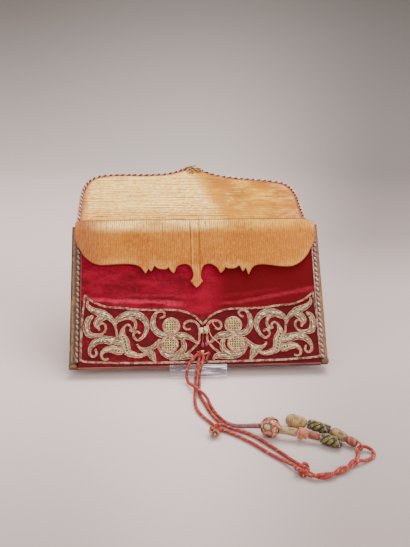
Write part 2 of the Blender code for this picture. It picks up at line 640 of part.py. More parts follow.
def relief(name, shapes, cuts, height, finish):
    """Raised needlework on the front: the union of flat shapes less the cuts, given its height."""
    points = []
    faces = []
    for hull in shapes + cuts:
        faces.append(list(range(len(points), len(points) + len(hull))))
        points += hull
    flat, _, triangles, _, _, origins = delaunay_2d_cdt(points, [], faces, 1, 1e-3)
    mesh = bmesh.new()
    corners = [mesh.verts.new(front(spot.x, spot.y, GAP)) for spot in flat]
    for triangle, origin in zip(triangles, origins):
        inside = any(i < len(shapes) for i in origin)
        removed = any(i >= len(shapes) for i in origin)
        if inside and not removed:
            mesh.faces.new([corners[i] for i in triangle])
    largest_island(mesh)
    loose = [corner for corner in mesh.verts if not corner.link_faces]
    bmesh.ops.delete(mesh, geom=loose, context="VERTS")
    bmesh.ops.dissolve_limit(mesh, angle_limit=radians(1.0), verts=mesh.verts, edges=mesh.edges)
    data = bpy.data.meshes.new(name)
    mesh.to_mesh(data)
    mesh.free()
    made = add_object(name, data, finish)
    add_solidify(made, height, 1)
    return made


def braid_hulls(width):
    """Flat pieces of one half of the frame braid."""
    return segment_hulls([(out, s, width / 2) for out, s in BRAID_ROUTE])


def make_embroidery():
    """Frame braid and the scrollwork of both halves."""
    braid = place_half(braid_hulls(BRAID_WIDTH), -1) + place_half(braid_hulls(BRAID_WIDTH), 1)
    relief("frame_braid", braid, [], BRAID_HEIGHT, gilt_thread())
    clear = braid_hulls(BRAID_WIDTH + 2 * GAP + 0.1)
    for name, side in (("scrollwork_left", -1), ("scrollwork_right", 1)):
        hulls = [hull for rows in STROKES.values() for hull in segment_hulls(rows)]
        hulls += [disc_hull(*bud) for bud in BUDS]
        relief(name, place_half(hulls, side), place_half(clear, side), SCROLL_HEIGHT, gilt_thread())


def lobed_ball(name, centre, radii, turn, lobes, depth, finish, segments=14, rings=9):
    """A thread knot: a ball whose surface winds in raised lobes."""
    bpy.ops.mesh.primitive_uv_sphere_add(segments=segments, ring_count=rings, radius=1.0)
    made = bpy.context.object
    made.name = name
    for corner in made.data.vertices:
        spin = atan2(corner.co.y, corner.co.x)
        tilt = acos(min(max(corner.co.z, -1.0), 1.0))
        swell = 1.0 + depth * cos(lobes * spin + 2.0 * tilt) * sin(tilt)
        place = Vector(corner.co[i] * radii[i] * swell for i in range(3))
        corner.co = (place.x * MM, place.y * MM, place.z * MM)
    made.location = centre
    made.rotation_euler = (0.0, 0.0, radians(turn))
    bpy.context.collection.objects.unlink(made)
    parts.objects.link(made)
    made.data.materials.append(finish)
    made.data.shade_smooth()
    return made


def turned(name, start, end, profile, finish, sides=12):
    """A turned piece between two world points, by a Screw about its own Z axis."""
    start, end = point(*start), point(*end)
    length = (end - start).length
    outer = [(radius * MM, fraction * length) for fraction, radius in profile]
    spots = [(0.0, 0.0)] + outer + [(0.0, length)]
    data = bpy.data.meshes.new(name)
    corners = [(x, 0.0, z) for x, z in spots[::-1]]
    data.from_pydata(corners, [(i, i + 1) for i in range(len(corners) - 1)], [])
    made = add_object(name, data, finish)
    made.location = start
    made.rotation_mode = "QUATERNION"
    made.rotation_quaternion = Vector((0.0, 0.0, 1.0)).rotation_difference(end - start)
    screw = made.modifiers.new("turning", "SCREW")
    screw.axis = "Z"
    screw.steps = sides
    screw.render_steps = sides
    screw.use_merge_vertices = True
    screw.merge_threshold = 0.00001
    screw.use_smooth_shade = True
    return made


def make_fastening():
    """Thread button at the embroidery's notch, its loop, and the hitch the cords hang from."""
    u, s = BUTTON_AT
    lift = GAP + SCROLL_HEIGHT + GAP + 1.6
    centre = front(u, s, lift)
    button = lobed_ball("centre_button", centre, (4.3, 1.7, 3.1), 0.0, 3, 0.06, gilt_thread(), 12, 8)
    button.rotation_euler = (-SLOPE, 0.0, 0.0)
    u, s, lift = HITCH_AT
    hitch = lobed_ball("cord_hitch", front(u, s, lift), (3.3, 1.6, 2.4), 0.0, 2, 0.1, red_cord(), 12, 8)
    hitch.rotation_euler = (-SLOPE, 0.0, 0.0)
    loop = ((2.6, 22.6, 1.7), (2.4, 19.5, 1.2), (2.0, 16.0, 1.2), (1.9, 12.6, 2.6))
    tube("button_loop", [front(*row) for row in smooth_curve(loop, 2.4)], 1.0, red_cord(), rings=1)


def doubled_cord_route():
    """The doubled cord: out along one strand, round the bight and back along the other."""
    middle = smooth_curve(DOUBLED_ROUTE, 3.0)
    strands = ([], [])
    travelled = 0.0
    for i, spot in enumerate(middle):
        before, after = middle[max(i - 1, 0)], middle[min(i + 1, len(middle) - 1)]
        run = (after - before).normalized()
        travelled += (spot - before).length
        across = run.cross(Vector((0.0, 0.0, 1.0))).normalized()
        turn = 2 * pi * travelled / STRAND_PITCH
        offset = (across * cos(turn) + Vector((0.0, 0.0, 1.0)) * sin(turn)) * STRAND_OFFSET
        strands[0].append(spot + offset)
        strands[1].append(spot - offset)
    return strands[0] + list(BIGHT_ROUTE) + strands[1][::-1]


def make_cords():
    """The three cords from the hitch, the doubled cord behind their knot, and the knots."""
    floor_cord("cord_single", SINGLE_CORD)
    floor_cord("cord_upper", UPPER_CORD)
    floor_cord("cord_lower", LOWER_CORD)
    floor_cord("cord_doubled", doubled_cord_route(), 3.2)
    lobed_ball("small_knot", point(*SMALL_KNOT_AT), (4.8, 3.5, 3.5), 48.0, 3, 0.06, red_cord(), 12, 8)
    lobed_ball("gathering_knot", point(*KNOT_AT), (5.0, 4.4, 3.1), -52.0, 3, 0.08, red_cord())
    lobed_ball("ball_knot", point(*BALL_AT), (6.7, 6.7, 6.6), 0.0, 4, 0.03, cream_thread(), 16, 11)


def make_toggles():
    """The turned and plaited pieces at the cords' ends and the eye that holds the bight."""
    finishes = {
        "toggle_shaft": cream_thread(), "toggle_collar": red_cord(), "toggle_grip": red_cord(),
        "toggle_plait": plait_thread(), "end_knob": cream_thread(), "end_plait": plait_thread(),
        "end_sleeve": cream_thread(), "end_whipping": red_cord(),
    }
    for name, start, end, profile in TURNED:
        turned(name, start, end, profile, finishes[name])
    start, end = point(*TURNED[-1][1]), point(*TURNED[-1][2])
    face = end / MM + (end - start).normalized() * 0.8
    run = Vector(EYE_RUN)
    up = Vector((0.0, 0.0, 1.0))
    route = [face + up * EYE_HALF, face + up * EYE_HALF + run * EYE_ARM * 0.5]
    turns = 8
    for step in range(turns + 1):
        angle = pi * step / turns
        route.append(face + run * (EYE_ARM + EYE_HALF * sin(angle)) + up * EYE_HALF * cos(angle))
    route += [face - up * EYE_HALF + run * EYE_ARM * 0.5, face - up * EYE_HALF]
    tube("end_eye", [spot * MM for spot in route], EYE_WIRE, red_cord())


def fillet(corner, before, after, radius, steps=5):
    """Arc points that round a corner of a flat profile to radius."""
    corner, before, after = Vector(corner), Vector(before), Vector(after)
    arriving = (before - corner).normalized()
    leaving = (after - corner).normalized()
    half = acos(arriving.dot(leaving)) / 2
    centre = corner + (arriving + leaving).normalized() * radius / sin(half)
    start = corner + arriving * radius / (sin(half) / cos(half)) - centre
    sweep = pi - 2 * half
    turn = 1.0 if arriving.cross(leaving) < 0 else -1.0
    found = []
    for step in range(steps + 1):
        angle = turn * sweep * step / steps
        found.append(centre + Vector((start.x * cos(angle) - start.y * sin(angle),
                                      start.x * sin(angle) + start.y * cos(angle))))
    return found


def make_stand():
    """One bent clear sheet: lip, ledge, backrest and rear leg."""
    middle = SHEET / 2
    behind = -GAP - middle
    foot_s = (middle - SEAT.z - sin(SLOPE) * behind) / cos(SLOPE)
    ledge_back = foot_s * sin(SLOPE) - behind * cos(SLOPE)
    top = Vector((0.0, 0.0, SEAT.z)) + ALONG * BACKREST_TOP + OUT * behind
    leg_tilt = atan2(top.z, LEG_FOOT - top.y)
    corners = [(LIP_FACE + middle, LIP_TOP), (LIP_FACE + middle, middle), (ledge_back, middle),
               (top.y, top.z), (LEG_FOOT, middle * cos(leg_tilt) + 0.02)]
    radii = (BEND_RADIUS, BEND_RADIUS, TOP_BEND_RADIUS)
    profile = [Vector(corners[0])]
    for i, radius in enumerate(radii, start=1):
        profile += fillet(corners[i], corners[i - 1], corners[i + 1], radius)
    profile.append(Vector(corners[-1]))
    mesh = bmesh.new()
    rows = []
    for y, z in profile:
        ends = (STAND_CENTRE - STAND_WIDTH / 2, STAND_CENTRE + STAND_WIDTH / 2)
        rows.append([mesh.verts.new(point(x, y, z)) for x in ends])
    for (a, b), (c, d) in zip(rows, rows[1:]):
        mesh.faces.new((a, b, d, c))
    data = bpy.data.meshes.new("stand")
    mesh.to_mesh(data)
    mesh.free()
    add_solidify(add_object("stand", data, clear_sheet()), SHEET, 0)


for item in list(bpy.data.objects):
    bpy.data.objects.remove(item, do_unlink=True)
parts = bpy.data.collections.new("embroidered_wallet_pouch_on_stand")
bpy.context.scene.collection.children.link(parts)

inner_lengths = []
INNER_SECTION_LENGTH = 0.0
section_curve = smooth_curve(INNER_SECTION, 2.6)
for first, second in zip(section_curve, section_curve[1:]):
    inner_lengths.append((first, second, INNER_SECTION_LENGTH))
    INNER_SECTION_LENGTH += (second - first).length

make_stand()
make_back_panel()
make_flap_lining()
make_flap_trim()
make_front_panel()
make_gusset("gusset_left", -1)
make_gusset("gusset_right", 1)
make_foot_strip()
make_corner_cap("corner_cap_left", -1)
make_corner_cap("corner_cap_right", 1)
make_side_cord("side_cord_left", -1)
make_side_cord("side_cord_right", 1)
make_inner_flap()
make_embroidery()
make_fastening()
make_cords()
make_toggles()
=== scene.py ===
"""Embroidered velvet wallet pouch, open on a clear stand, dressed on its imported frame.

Tables are in millimetres. Panel coordinates are u across the pouch, s up its leaning back and n out
towards the viewer. World y in the tables is measured from the pouch's foot.
"""

import json
from math import cos, pi, radians, sin, sqrt

import bpy
import numpy as np
from mathutils import Matrix, Vector, noise
from mathutils.geometry import delaunay_2d_cdt

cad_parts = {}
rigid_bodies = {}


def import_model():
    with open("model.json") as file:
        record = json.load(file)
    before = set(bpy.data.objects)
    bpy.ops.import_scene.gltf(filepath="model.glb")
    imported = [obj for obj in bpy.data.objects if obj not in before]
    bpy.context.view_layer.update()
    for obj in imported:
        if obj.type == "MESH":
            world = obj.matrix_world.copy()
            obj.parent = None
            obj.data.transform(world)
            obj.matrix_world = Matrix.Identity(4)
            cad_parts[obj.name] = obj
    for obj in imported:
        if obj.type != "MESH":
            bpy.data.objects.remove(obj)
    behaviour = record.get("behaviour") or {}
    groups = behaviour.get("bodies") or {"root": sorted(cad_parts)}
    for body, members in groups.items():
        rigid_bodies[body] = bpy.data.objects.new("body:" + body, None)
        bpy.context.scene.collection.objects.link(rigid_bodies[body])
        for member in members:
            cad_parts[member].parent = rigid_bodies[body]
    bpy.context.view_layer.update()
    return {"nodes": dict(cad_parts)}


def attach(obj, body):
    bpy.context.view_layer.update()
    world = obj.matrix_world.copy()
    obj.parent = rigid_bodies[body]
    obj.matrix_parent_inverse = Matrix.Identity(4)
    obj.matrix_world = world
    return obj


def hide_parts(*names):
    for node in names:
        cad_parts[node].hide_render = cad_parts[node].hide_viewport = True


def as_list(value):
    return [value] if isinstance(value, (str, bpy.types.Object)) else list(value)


bl_info = {
    "name": "Embroidered wallet pouch",
    "version": (1, 0, 0),
    "blender": (4, 5, 0),
    "location": "3D View > Sidebar > Pouch",
    "description": "Builds an embroidered velvet wallet pouch, its cords and its clear stand",
    "category": "Object",
}

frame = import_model()

MM = 0.001
GAP = 0.3

# Sizes of the pouch, its cords and its stand
BODY_WIDTH = 190.0
BODY_HEIGHT = 112.0
SHOULDER = 111.4
VELVET = 1.8
VELVET_RIM = 0.5
EDGE_STEP = 1.4
FRONT_HALF = 88.0
FRONT_TOP = 104.0
DEPTH_FOOT = 9.5
DEPTH_GROWTH = 3.0 / 110.0
GUSSET_FOOT = 4.2
GUSSET_TOP = 111.0
FLAP_AXIS = 0.3
FLAP_RIGHT_SCALE = 0.939
FLAP_LEAN = 70.0
FLAP_CURL = 6.5
HINGE_RADIUS = 10.0
TRIM_CORD = 2.3
FLAP_CORD = 2.9
FLAP_TURN = 5.0
SILK_SPREAD = 1.13
INNER_AXIS = -0.4
INNER_HALF = 91.0
INNER_LEATHER = 1.3
INNER_FLARE = 0.9
PENDANT_TIP = 57.5
PENDANT_LEAN = 0.7
TOOLED_LINES = (-4.6, 1.9)
TOOLED_RINGS = ((-26.4, 78.2, 3.8), (25.6, 79.5, 4.0))
TOOLED_LOZENGE = (-1.1, 62.6, 2.3)
SEAM_CORDS = {
    # side: (distance from the axis, lift, thickness, turn, piping's distance from the axis)
    "left": (88.6, 0.2, 2.4, 4.1, 86.6),
    "right": (89.6, -0.4, 2.5, 3.9, 87.7),
}
EMBROIDERY_AXIS = 2.8
EMBROIDERY_RIGHT_SCALE = 0.961
CORD = 2.1
SHEET = 2.5
EDGE_THREAD = 0.35
STAND_CENTRE = -1.5
STAND_WIDTH = 41.0

SLOPE = radians(38.0)
FOOT_Y = 4.4
SEAT_Z = SHEET + GAP
OUT = np.array((0.0, -cos(SLOPE), sin(SLOPE)))
UP = np.array((0.0, 0.0, 1.0))

# Outer flap's outline, left half
FLAP_OUTLINE = (
    # out, up
    (92.1, 2.6), (91.9, 25.0), (91.9, 35.3), (91.4, 44.2), (89.9, 52.2), (87.4, 58.9), (83.3, 64.2),
    (78.2, 67.3), (71.6, 68.9), (62.6, 69.7), (51.4, 69.7), (40.1, 69.4), (30.2, 69.6), (22.6, 70.6),
    (15.8, 73.0), (9.6, 76.4), (4.1, 79.2), (0.0, 80.4),
)

# Loops of thread on the outer flap's peak
TUFT_LOOPS = (
    # u, down from the peak, half length, half width, slant
    (-4.4, 4.0, 2.8, 1.4, 0.35), (-1.4, 2.0, 2.4, 1.5, -0.3), (1.8, 1.8, 2.3, 1.6, 0.4),
    (5.0, 4.6, 2.7, 1.4, -0.45), (-1.8, 6.8, 2.3, 1.6, 0.7), (2.2, 7.4, 2.5, 1.7, -0.7),
    (0.4, 4.6, 1.9, 1.9, 0.0), (6.6, 7.6, 1.8, 1.2, -0.5), (-0.2, 9.4, 1.6, 1.4, 0.2),
)

# Thickness and turn of the threads that are sewn or tied
SEAM_THREAD = (0.8, 2.4)
TUFT_THREAD = (1.25, 2.3)
LOOSE_THREAD = (0.75, 2.0)

# Leather and seams of the sides
GUSSET_LEATHER = 1.0
GUSSET_RIPPLE = 0.22
GUSSET_TURNS = (86.6, 90.4, 93.6, 94.6)
GUSSET_SECTION = (
    # distance from the axis, how much lower its top ends
    (86.6, 6.0), (88.8, 5.6), (90.6, 5.3), (91.7, 3.4), (92.8, 1.4), (93.8, 0.5), (94.6, 0.0),
)
CAP_HALF = (3.1, 3.65)
CAP_DEPTH = 5.8
CAP_SQUARENESS = 0.55
CAP_LEVELS = (
    # s, share of the full width
    (0.2, 0.72), (0.35, 0.9), (0.8, 1.0), (2.2, 1.0), (3.1, 0.97), (3.6, 0.8), (3.75, 0.5),
)
FOOT_ROLLS = (
    # s, lift, radius
    (0.1, -0.75, 0.6), (-0.5, -2.2, 0.9),
)
SEAM_LENGTH = 100.0
PIPING_RADIUS = 0.5

# Inner flap's lower edge
INNER_OUTLINE = (
    # out, s_left, right_drop
    (90.9, 98.0, 0.0), (89.9, 94.0, 0.4), (87.9, 90.0, 0.4), (84.3, 83.7, 0.8), (81.3, 80.7, 1.4),
    (78.6, 78.5, 1.8), (75.3, 76.9, 2.2), (71.3, 76.0, 2.8), (66.6, 76.1, 3.2), (59.9, 76.5, 3.0),
    (53.3, 76.7, 2.2), (48.6, 76.3, 1.5), (44.6, 75.4, 1.1), (41.9, 73.7, 1.0), (40.1, 71.4, 1.2),
    (38.4, 69.0, 2.0), (36.9, 71.2, 0.4), (36.0, 72.5, 0.4), (35.1, 71.1, 0.9), (33.8, 70.8, 1.0),
    (32.6, 73.0, 0.7), (31.7, 74.7, 0.5), (30.6, 73.7, 0.3), (28.2, 72.4, 0.2), (24.8, 72.0, 0.1),
    (22.4, 72.4, 0.2), (21.4, 73.6, 0.6), (20.4, 72.0, 0.8), (19.2, 70.2, 0.5), (17.6, 68.9, 0.2),
    (16.5, 70.2, 0.4), (15.6, 73.1, 1.4), (13.9, 74.7, 1.0), (11.4, 75.7, 0.5), (8.7, 75.9, 0.0),
    (6.3, 75.1, -0.2), (4.6, 73.4, -0.4), (3.4, 70.8, -0.3), (2.9, 68.2, 0.0), (2.9, 66.4, 0.0),
    (3.3, 64.6, 0.0), (4.5, 62.5, 0.1), (3.4, 60.9, 0.0), (1.2, 58.3, 0.0),
)
INNER_SECTION = (
    # s, n
    (106.5, 2.8), (109.6, 2.9), (112.0, 4.0), (113.3, 6.0), (113.4, 8.4), (112.2, 10.8), (110.2, 12.6),
    (107.2, 13.7), (103.4, 14.2), (98.0, 14.2),
)

# Frame braid, one half, in three runs that meet at its corners
BRAID_RUNS = (
    # out, s
    ((0.0, 2.5), (31.8, 2.6), (61.8, 3.0), (81.8, 4.1), (86.8, 4.7), (88.4, 6.4), (88.5, 12.0),
     (88.3, 24.5), (87.8, 37.0), (87.0, 45.3), (86.2, 53.4)),
    ((86.2, 53.4), (81.8, 49.5), (76.8, 46.8), (71.8, 44.9), (66.8, 44.1), (56.8, 43.3), (46.8, 42.0),
     (31.8, 41.6), (21.8, 41.4), (16.8, 40.75), (11.8, 39.3), (7.8, 37.5), (4.8, 35.3), (2.4, 32.8),
     (0.0, 30.2)),
)
BRAID_SHIFT = 0.37
BRAID_STRAND = 0.86
BRAID_TURN = 2.0

# Scrollwork, one half: strokes of distance from the axis, s and half width
STROKES = {
    # name: ((out, s, half_width), ...)
    "corner_leaf": (
        (84.1, 49.4, 0.5), (84.1, 46.0, 1.3), (81.1, 42.9, 2.0), (77.0, 41.0, 2.6), (72.8, 39.0, 3.2),
        (69.1, 37.2, 2.3), (66.6, 35.0, 1.8), (64.7, 32.6, 1.5), (63.6, 28.5, 0.8), (62.6, 22.0, 0.7)),
    "side_scroll": (
        (80.3, 38.0, 1.2), (83.0, 35.8, 2.0), (84.5, 32.6, 2.2), (84.8, 29.1, 2.5), (83.6, 25.1, 2.4),
        (80.8, 23.5, 2.0), (77.1, 23.6, 1.3), (73.8, 24.3, 0.9), (71.2, 26.7, 0.8), (71.0, 30.4, 0.8),
        (73.3, 32.3, 0.7), (75.9, 31.0, 0.7), (75.6, 27.3, 0.6)),
    "inner_crescent": (
        (70.2, 36.6, 1.2), (73.6, 36.2, 2.4), (76.6, 34.4, 2.6), (77.8, 31.2, 1.7), (76.2, 28.6, 0.7)),
    "top_scroll": (
        (64.2, 31.0, 0.8), (61.8, 35.3, 2.0), (56.8, 37.9, 2.6), (51.8, 38.9, 2.7), (46.8, 37.7, 2.8),
        (43.4, 35.3, 2.4), (41.4, 32.0, 2.1), (41.0, 28.0, 1.7), (42.2, 24.3, 1.4), (44.2, 21.4, 1.1),
        (47.4, 19.4, 0.9), (50.0, 21.0, 0.9), (50.6, 23.8, 0.9), (48.4, 25.7, 0.7), (46.1, 24.4, 0.6)),
    "inner_hook": (
        (61.8, 34.0, 1.0), (56.8, 35.9, 1.3), (52.8, 35.8, 1.3), (50.2, 34.2, 1.3), (49.1, 30.5, 1.1),
        (50.2, 27.5, 1.2), (52.6, 26.0, 1.0)),
    "lobe": (
        (53.4, 26.4, 0.7), (52.6, 29.0, 0.7), (54.8, 31.0, 0.8), (57.4, 29.4, 0.9), (58.8, 25.4, 2.0),
        (58.6, 21.6, 3.0), (57.2, 18.6, 3.6), (56.4, 14.6, 3.4), (55.2, 11.0, 2.8), (51.3, 9.0, 2.2),
        (46.8, 8.0, 1.7), (43.0, 8.9, 1.4), (41.0, 10.6, 1.3)),
    "lower_leaf": (
        (58.5, 16.5, 3.3), (65.8, 19.0, 3.4), (69.8, 20.0, 2.9), (73.8, 20.3, 2.9), (77.8, 18.8, 2.4),
        (80.8, 16.0, 1.9), (82.3, 12.6, 1.2), (81.9, 9.4, 1.0), (79.3, 8.0, 0.8), (77.2, 9.8, 0.7),
        (78.2, 13.3, 0.5)),
    "dotted_lobe": (
        (58.0, 11.5, 3.1), (62.3, 12.0, 3.0), (65.8, 13.0, 2.6), (69.3, 13.2, 2.2), (72.3, 11.8, 1.6),
        (73.8, 9.2, 1.1), (72.9, 6.4, 0.9), (70.6, 5.6, 0.8), (68.8, 6.4, 0.6)),
    "lily": (
        (48.1, 16.3, 0.4), (46.4, 13.8, 1.0), (42.8, 12.1, 1.9), (39.3, 12.3, 2.2), (36.3, 14.2, 1.9),
        (33.4, 16.8, 1.7), (31.2, 19.8, 1.0)),
    "lily_stalk": (
        (39.3, 12.3, 2.4), (38.0, 9.0, 2.8), (36.4, 5.8, 1.8), (34.9, 3.8, 0.6)),
    "bud_crescent": (
        (31.3, 35.5, 0.6), (28.6, 36.5, 0.7), (27.9, 39.2, 0.8), (30.1, 40.4, 0.7), (33.4, 40.0, 1.0),
        (35.4, 37.3, 1.5), (36.5, 33.5, 1.9), (36.2, 28.8, 2.2), (33.6, 25.0, 2.3), (29.4, 22.9, 2.2),
        (23.8, 22.8, 2.0)),
    "stem_leaf": (
        (23.8, 22.8, 2.0), (20.8, 22.2, 1.9), (17.3, 21.9, 2.9), (13.3, 21.8, 2.5), (9.6, 20.2, 1.7),
        (6.8, 18.0, 1.1), (4.2, 16.0, 0.9)),
    "small_scroll": (
        (2.6, 26.4, 0.9), (3.6, 30.0, 0.9), (5.8, 32.2, 0.9), (9.4, 33.0, 0.9), (12.9, 31.8, 0.9),
        (14.0, 28.8, 0.8), (12.0, 26.5, 0.7), (9.2, 27.2, 0.6)),
    "stem": (
        (2.6, 26.4, 0.9), (2.9, 22.0, 0.8), (3.0, 18.6, 0.7), (4.4, 15.8, 0.8), (8.0, 12.2, 0.8),
        (12.4, 8.6, 1.0)),
    "bowl": (
        (15.6, 19.2, 1.5), (14.2, 15.6, 1.9), (14.9, 11.6, 2.1), (19.0, 8.2, 2.4), (23.8, 7.2, 2.5),
        (28.2, 8.6, 1.9), (31.6, 11.6, 1.1), (33.0, 15.4, 0.8), (31.9, 18.8, 0.9)),
    "bottom_leaf": (
        (24.8, 4.9, 0.9), (18.8, 5.9, 1.8), (13.8, 6.8, 2.3), (10.0, 6.8, 2.0), (6.8, 4.6, 0.8)),
}
DOTTED = ("lobe", "dotted_lobe")
BUDS = (
    # out, s, radius
    (23.2, 29.4, 6.3),
    (24.8, 15.9, 6.4),
)
BUD_HEIGHT = 0.85
LATTICE_SPACING = 1.75
LATTICE_RADIUS = 0.31
BUD_RINGS = (
    # share of the bud's radius, lift, thread's radius
    (0.985, 0.35, 0.34), (0.9, 0.62, 0.42), (0.8, 0.8, 0.38),
)

# Button, its loop and the hitch under it; the routes are u, s and lift
BUTTON_KNOTS = (
    # shade, u, s, lift, half width, half height
    ("pale", 1.2, 25.4, 2.6, 1.8, 2.5), ("pale", 4.9, 26.0, 2.6, 1.8, 3.1),
    ("tan", 5.4, 23.8, 2.8, 1.5, 1.7),
)
BUTTON_LOOP = ((2.6, 22.6, 1.7), (2.4, 19.5, 1.2), (2.0, 16.0, 1.2), (1.9, 12.6, 2.6))
HITCH_STUB = ((6.9, 9.2, 2.9), (6.0, 7.2, 2.7), (5.0, 5.0, 2.4), (4.2, 3.2, 2.1))
HITCH_LINK = ((1.4, 8.2, 3.4), (3.2, 7.6, 3.0), (5.0, 8.4, 2.8), (6.6, 8.8, 2.8))
LOOSE_THREADS = (
    ((6.4, 28.2, 3.4), (6.9, 25.6, 3.4), (7.6, 22.8, 2.8), (9.4, 19.7, 2.0), (12.3, 17.4, 1.7),
     (15.1, 14.6, 1.7), (16.5, 12.0, 1.7), (16.8, 10.0, 1.6)),
    ((9.5, 31.9, 1.5), (10.5, 29.8, 1.0), (12.2, 27.6, 1.2), (14.2, 26.2, 1.6)),
)

# Free cords, in world millimetres
SINGLE_CORD = (
    (-1.8, -6.2, 17.1), (-4.6, -8.7, 15.8), (-7.0, -11.6, 14.0), (-8.9, -14.2, 11.4), (-10.0, -15.9, 7.8),
    (-10.2, -17.4, 4.4), (-9.4, -20.8, 2.4), (-7.9, -24.8, 3.1), (-6.2, -28.8, 3.9), (-4.2, -32.8, 4.1),
    (-2.2, -36.6, 4.1), (0.1, -40.3, 4.0), (2.3, -44.4, 3.1), (3.8, -49.4, 1.7), (5.1, -55.2, 1.4),
    (6.9, -61.6, 1.4), (9.5, -68.0, 1.4), (12.8, -73.8, 1.4), (17.4, -78.0, 1.6), (22.8, -80.6, 2.4),
    (28.2, -83.7, 4.3), (32.9, -87.0, 6.1),
)
UPPER_CORD = (
    (2.2, -6.8, 15.2), (1.7, -9.6, 14.5), (0.8, -12.6, 13.1), (-0.2, -14.9, 9.8), (-1.0, -15.9, 5.6),
    (-1.4, -18.6, 2.1), (-1.7, -24.0, 1.4), (-2.1, -30.0, 1.4), (-2.0, -36.0, 1.4), (-1.0, -42.2, 1.4),
    (0.6, -48.4, 1.4), (2.2, -55.0, 1.4), (4.2, -62.4, 1.4), (6.8, -69.4, 1.4), (10.2, -75.9, 1.4),
    (15.2, -81.0, 1.4), (21.1, -84.8, 1.4), (26.8, -89.0, 1.4), (31.8, -94.4, 1.4), (36.2, -100.4, 1.4),
    (40.6, -106.4, 1.4), (44.7, -112.4, 1.4), (48.2, -118.6, 1.7), (51.4, -125.3, 3.0),
)
LOWER_CORD = (
    (-0.9, -7.6, 14.3), (-1.3, -10.0, 14.0), (-2.0, -12.8, 12.9), (-2.9, -15.0, 9.6), (-3.6, -15.9, 5.6),
    (-4.0, -18.6, 2.1), (-4.3, -24.0, 1.4), (-4.7, -30.0, 1.4), (-5.2, -36.0, 1.4), (-5.6, -43.0, 1.4),
    (-5.6, -50.0, 1.4), (-4.6, -57.4, 1.4), (-2.2, -64.4, 1.4), (1.4, -71.0, 1.4), (5.6, -78.0, 1.4),
    (11.3, -84.0, 1.4), (17.8, -89.4, 1.4), (23.9, -95.4, 1.4), (29.4, -101.8, 1.4), (34.2, -108.2, 1.4),
    (39.0, -113.9, 1.4), (43.6, -119.4, 1.7), (48.5, -126.3, 3.0),
)
DOUBLED_ROUTE = (
    (55.9, -135.2, 2.9), (60.8, -136.9, 2.9), (66.4, -135.9, 2.9), (71.8, -133.2, 2.9),
    (77.0, -129.8, 2.9), (82.0, -126.0, 2.9), (86.0, -122.6, 2.9),
)
BIGHT_ROUTE = (
    (87.3, -118.6, 2.2), (88.4, -114.9, 1.8), (88.8, -111.4, 2.6), (91.3, -108.8, 3.4),
    (95.2, -108.8, 2.9), (97.9, -111.1, 2.0), (98.5, -114.5, 1.5), (96.6, -117.7, 1.4),
    (92.2, -120.7, 1.6),
)
STRAND_OFFSET = 1.05
STRAND_PITCH = 22.6
SMALL_KNOT_AT = (5.9, -86.2, 4.0)
KNOT_AT = (52.4, -131.0, 3.6)
CORD_KNOTS = (
    # name, frame node, place, half sizes, axis, cord's thickness
    ("little_knot", "small_knot", SMALL_KNOT_AT, (4.8, 3.9, 3.5), (0.2, -0.5, 0.8), 2.1),
    ("joining_knot", "gathering_knot", KNOT_AT, (5.4, 4.8, 3.1), (0.1, -0.3, 0.95), 2.3),
)
BALL_AT = (39.2, -90.4, 7.1)
BALL_AXIS = (-0.3, -0.8, 0.52)
BALL_CORE = (5.5, 5.5, 5.3)
BALL_RADII = (6.0, 6.0, 5.9)
BALL_BIGHTS = 5
BALL_TILT = 56.0
BALL_SPACING = 0.86
BALL_LEADS = (
    # shift from the lead's middle, thread's radius
    (-1.4, 0.34), (-0.5, 0.5), (0.5, 0.5), (1.4, 0.34),
)
HEART_FROM_BALL = (-2.9, -4.9, 3.3)

# Turned and wound pieces on the cords: ends in world millimetres, profile of fraction and radius
TURNED = {
    # name: (start, end, ((fraction, radius), ...))
    "toggle_shaft": ((44.6, -92.0, 6.4), (55.2, -95.0, 5.5), (
        (0.0, 1.9), (0.06, 2.4), (0.5, 2.2), (0.9, 2.4), (1.0, 2.1))),
    "toggle_collar": ((55.6, -95.1, 5.5), (61.4, -96.9, 5.1), (
        (0.0, 2.3), (0.06, 3.0), (0.2, 3.6), (0.42, 3.7), (0.58, 3.0), (0.68, 2.5), (0.78, 2.9),
        (0.9, 2.9), (1.0, 2.3))),
    "toggle_grip": ((61.9, -97.1, 5.1), (68.6, -99.6, 4.7), (
        (0.0, 2.0), (0.1, 2.2), (0.9, 2.2), (1.0, 2.0))),
    "toggle_plait": ((69.2, -99.9, 4.6), (80.4, -106.6, 4.0), (
        (0.0, 2.0), (0.08, 2.8), (0.25, 3.2), (0.75, 3.1), (0.95, 2.3), (1.0, 1.5))),
    "end_knob": ((51.0, -77.6, 4.7), (63.2, -83.6, 4.9), (
        (0.0, 0.9), (0.03, 2.0), (0.1, 3.1), (0.25, 3.9), (0.5, 4.1), (0.8, 3.5), (0.94, 2.9), (1.0, 2.0))),
    "end_plait": ((64.0, -84.1, 5.0), (76.0, -94.2, 5.8), (
        (0.0, 1.9), (0.08, 2.7), (0.3, 3.0), (0.7, 3.1), (0.93, 2.7), (1.0, 2.0))),
    "end_sleeve": ((76.5, -94.7, 5.7), (84.9, -102.1, 4.6), (
        (0.0, 2.0), (0.08, 2.9), (0.3, 3.3), (0.7, 3.0), (0.94, 2.4), (1.0, 1.9))),
    "end_whipping": ((85.2, -102.4, 4.4), (89.9, -106.4, 3.5), (
        (0.0, 2.0), (0.12, 2.5), (0.5, 2.6), (0.88, 2.4), (1.0, 1.8))),
}
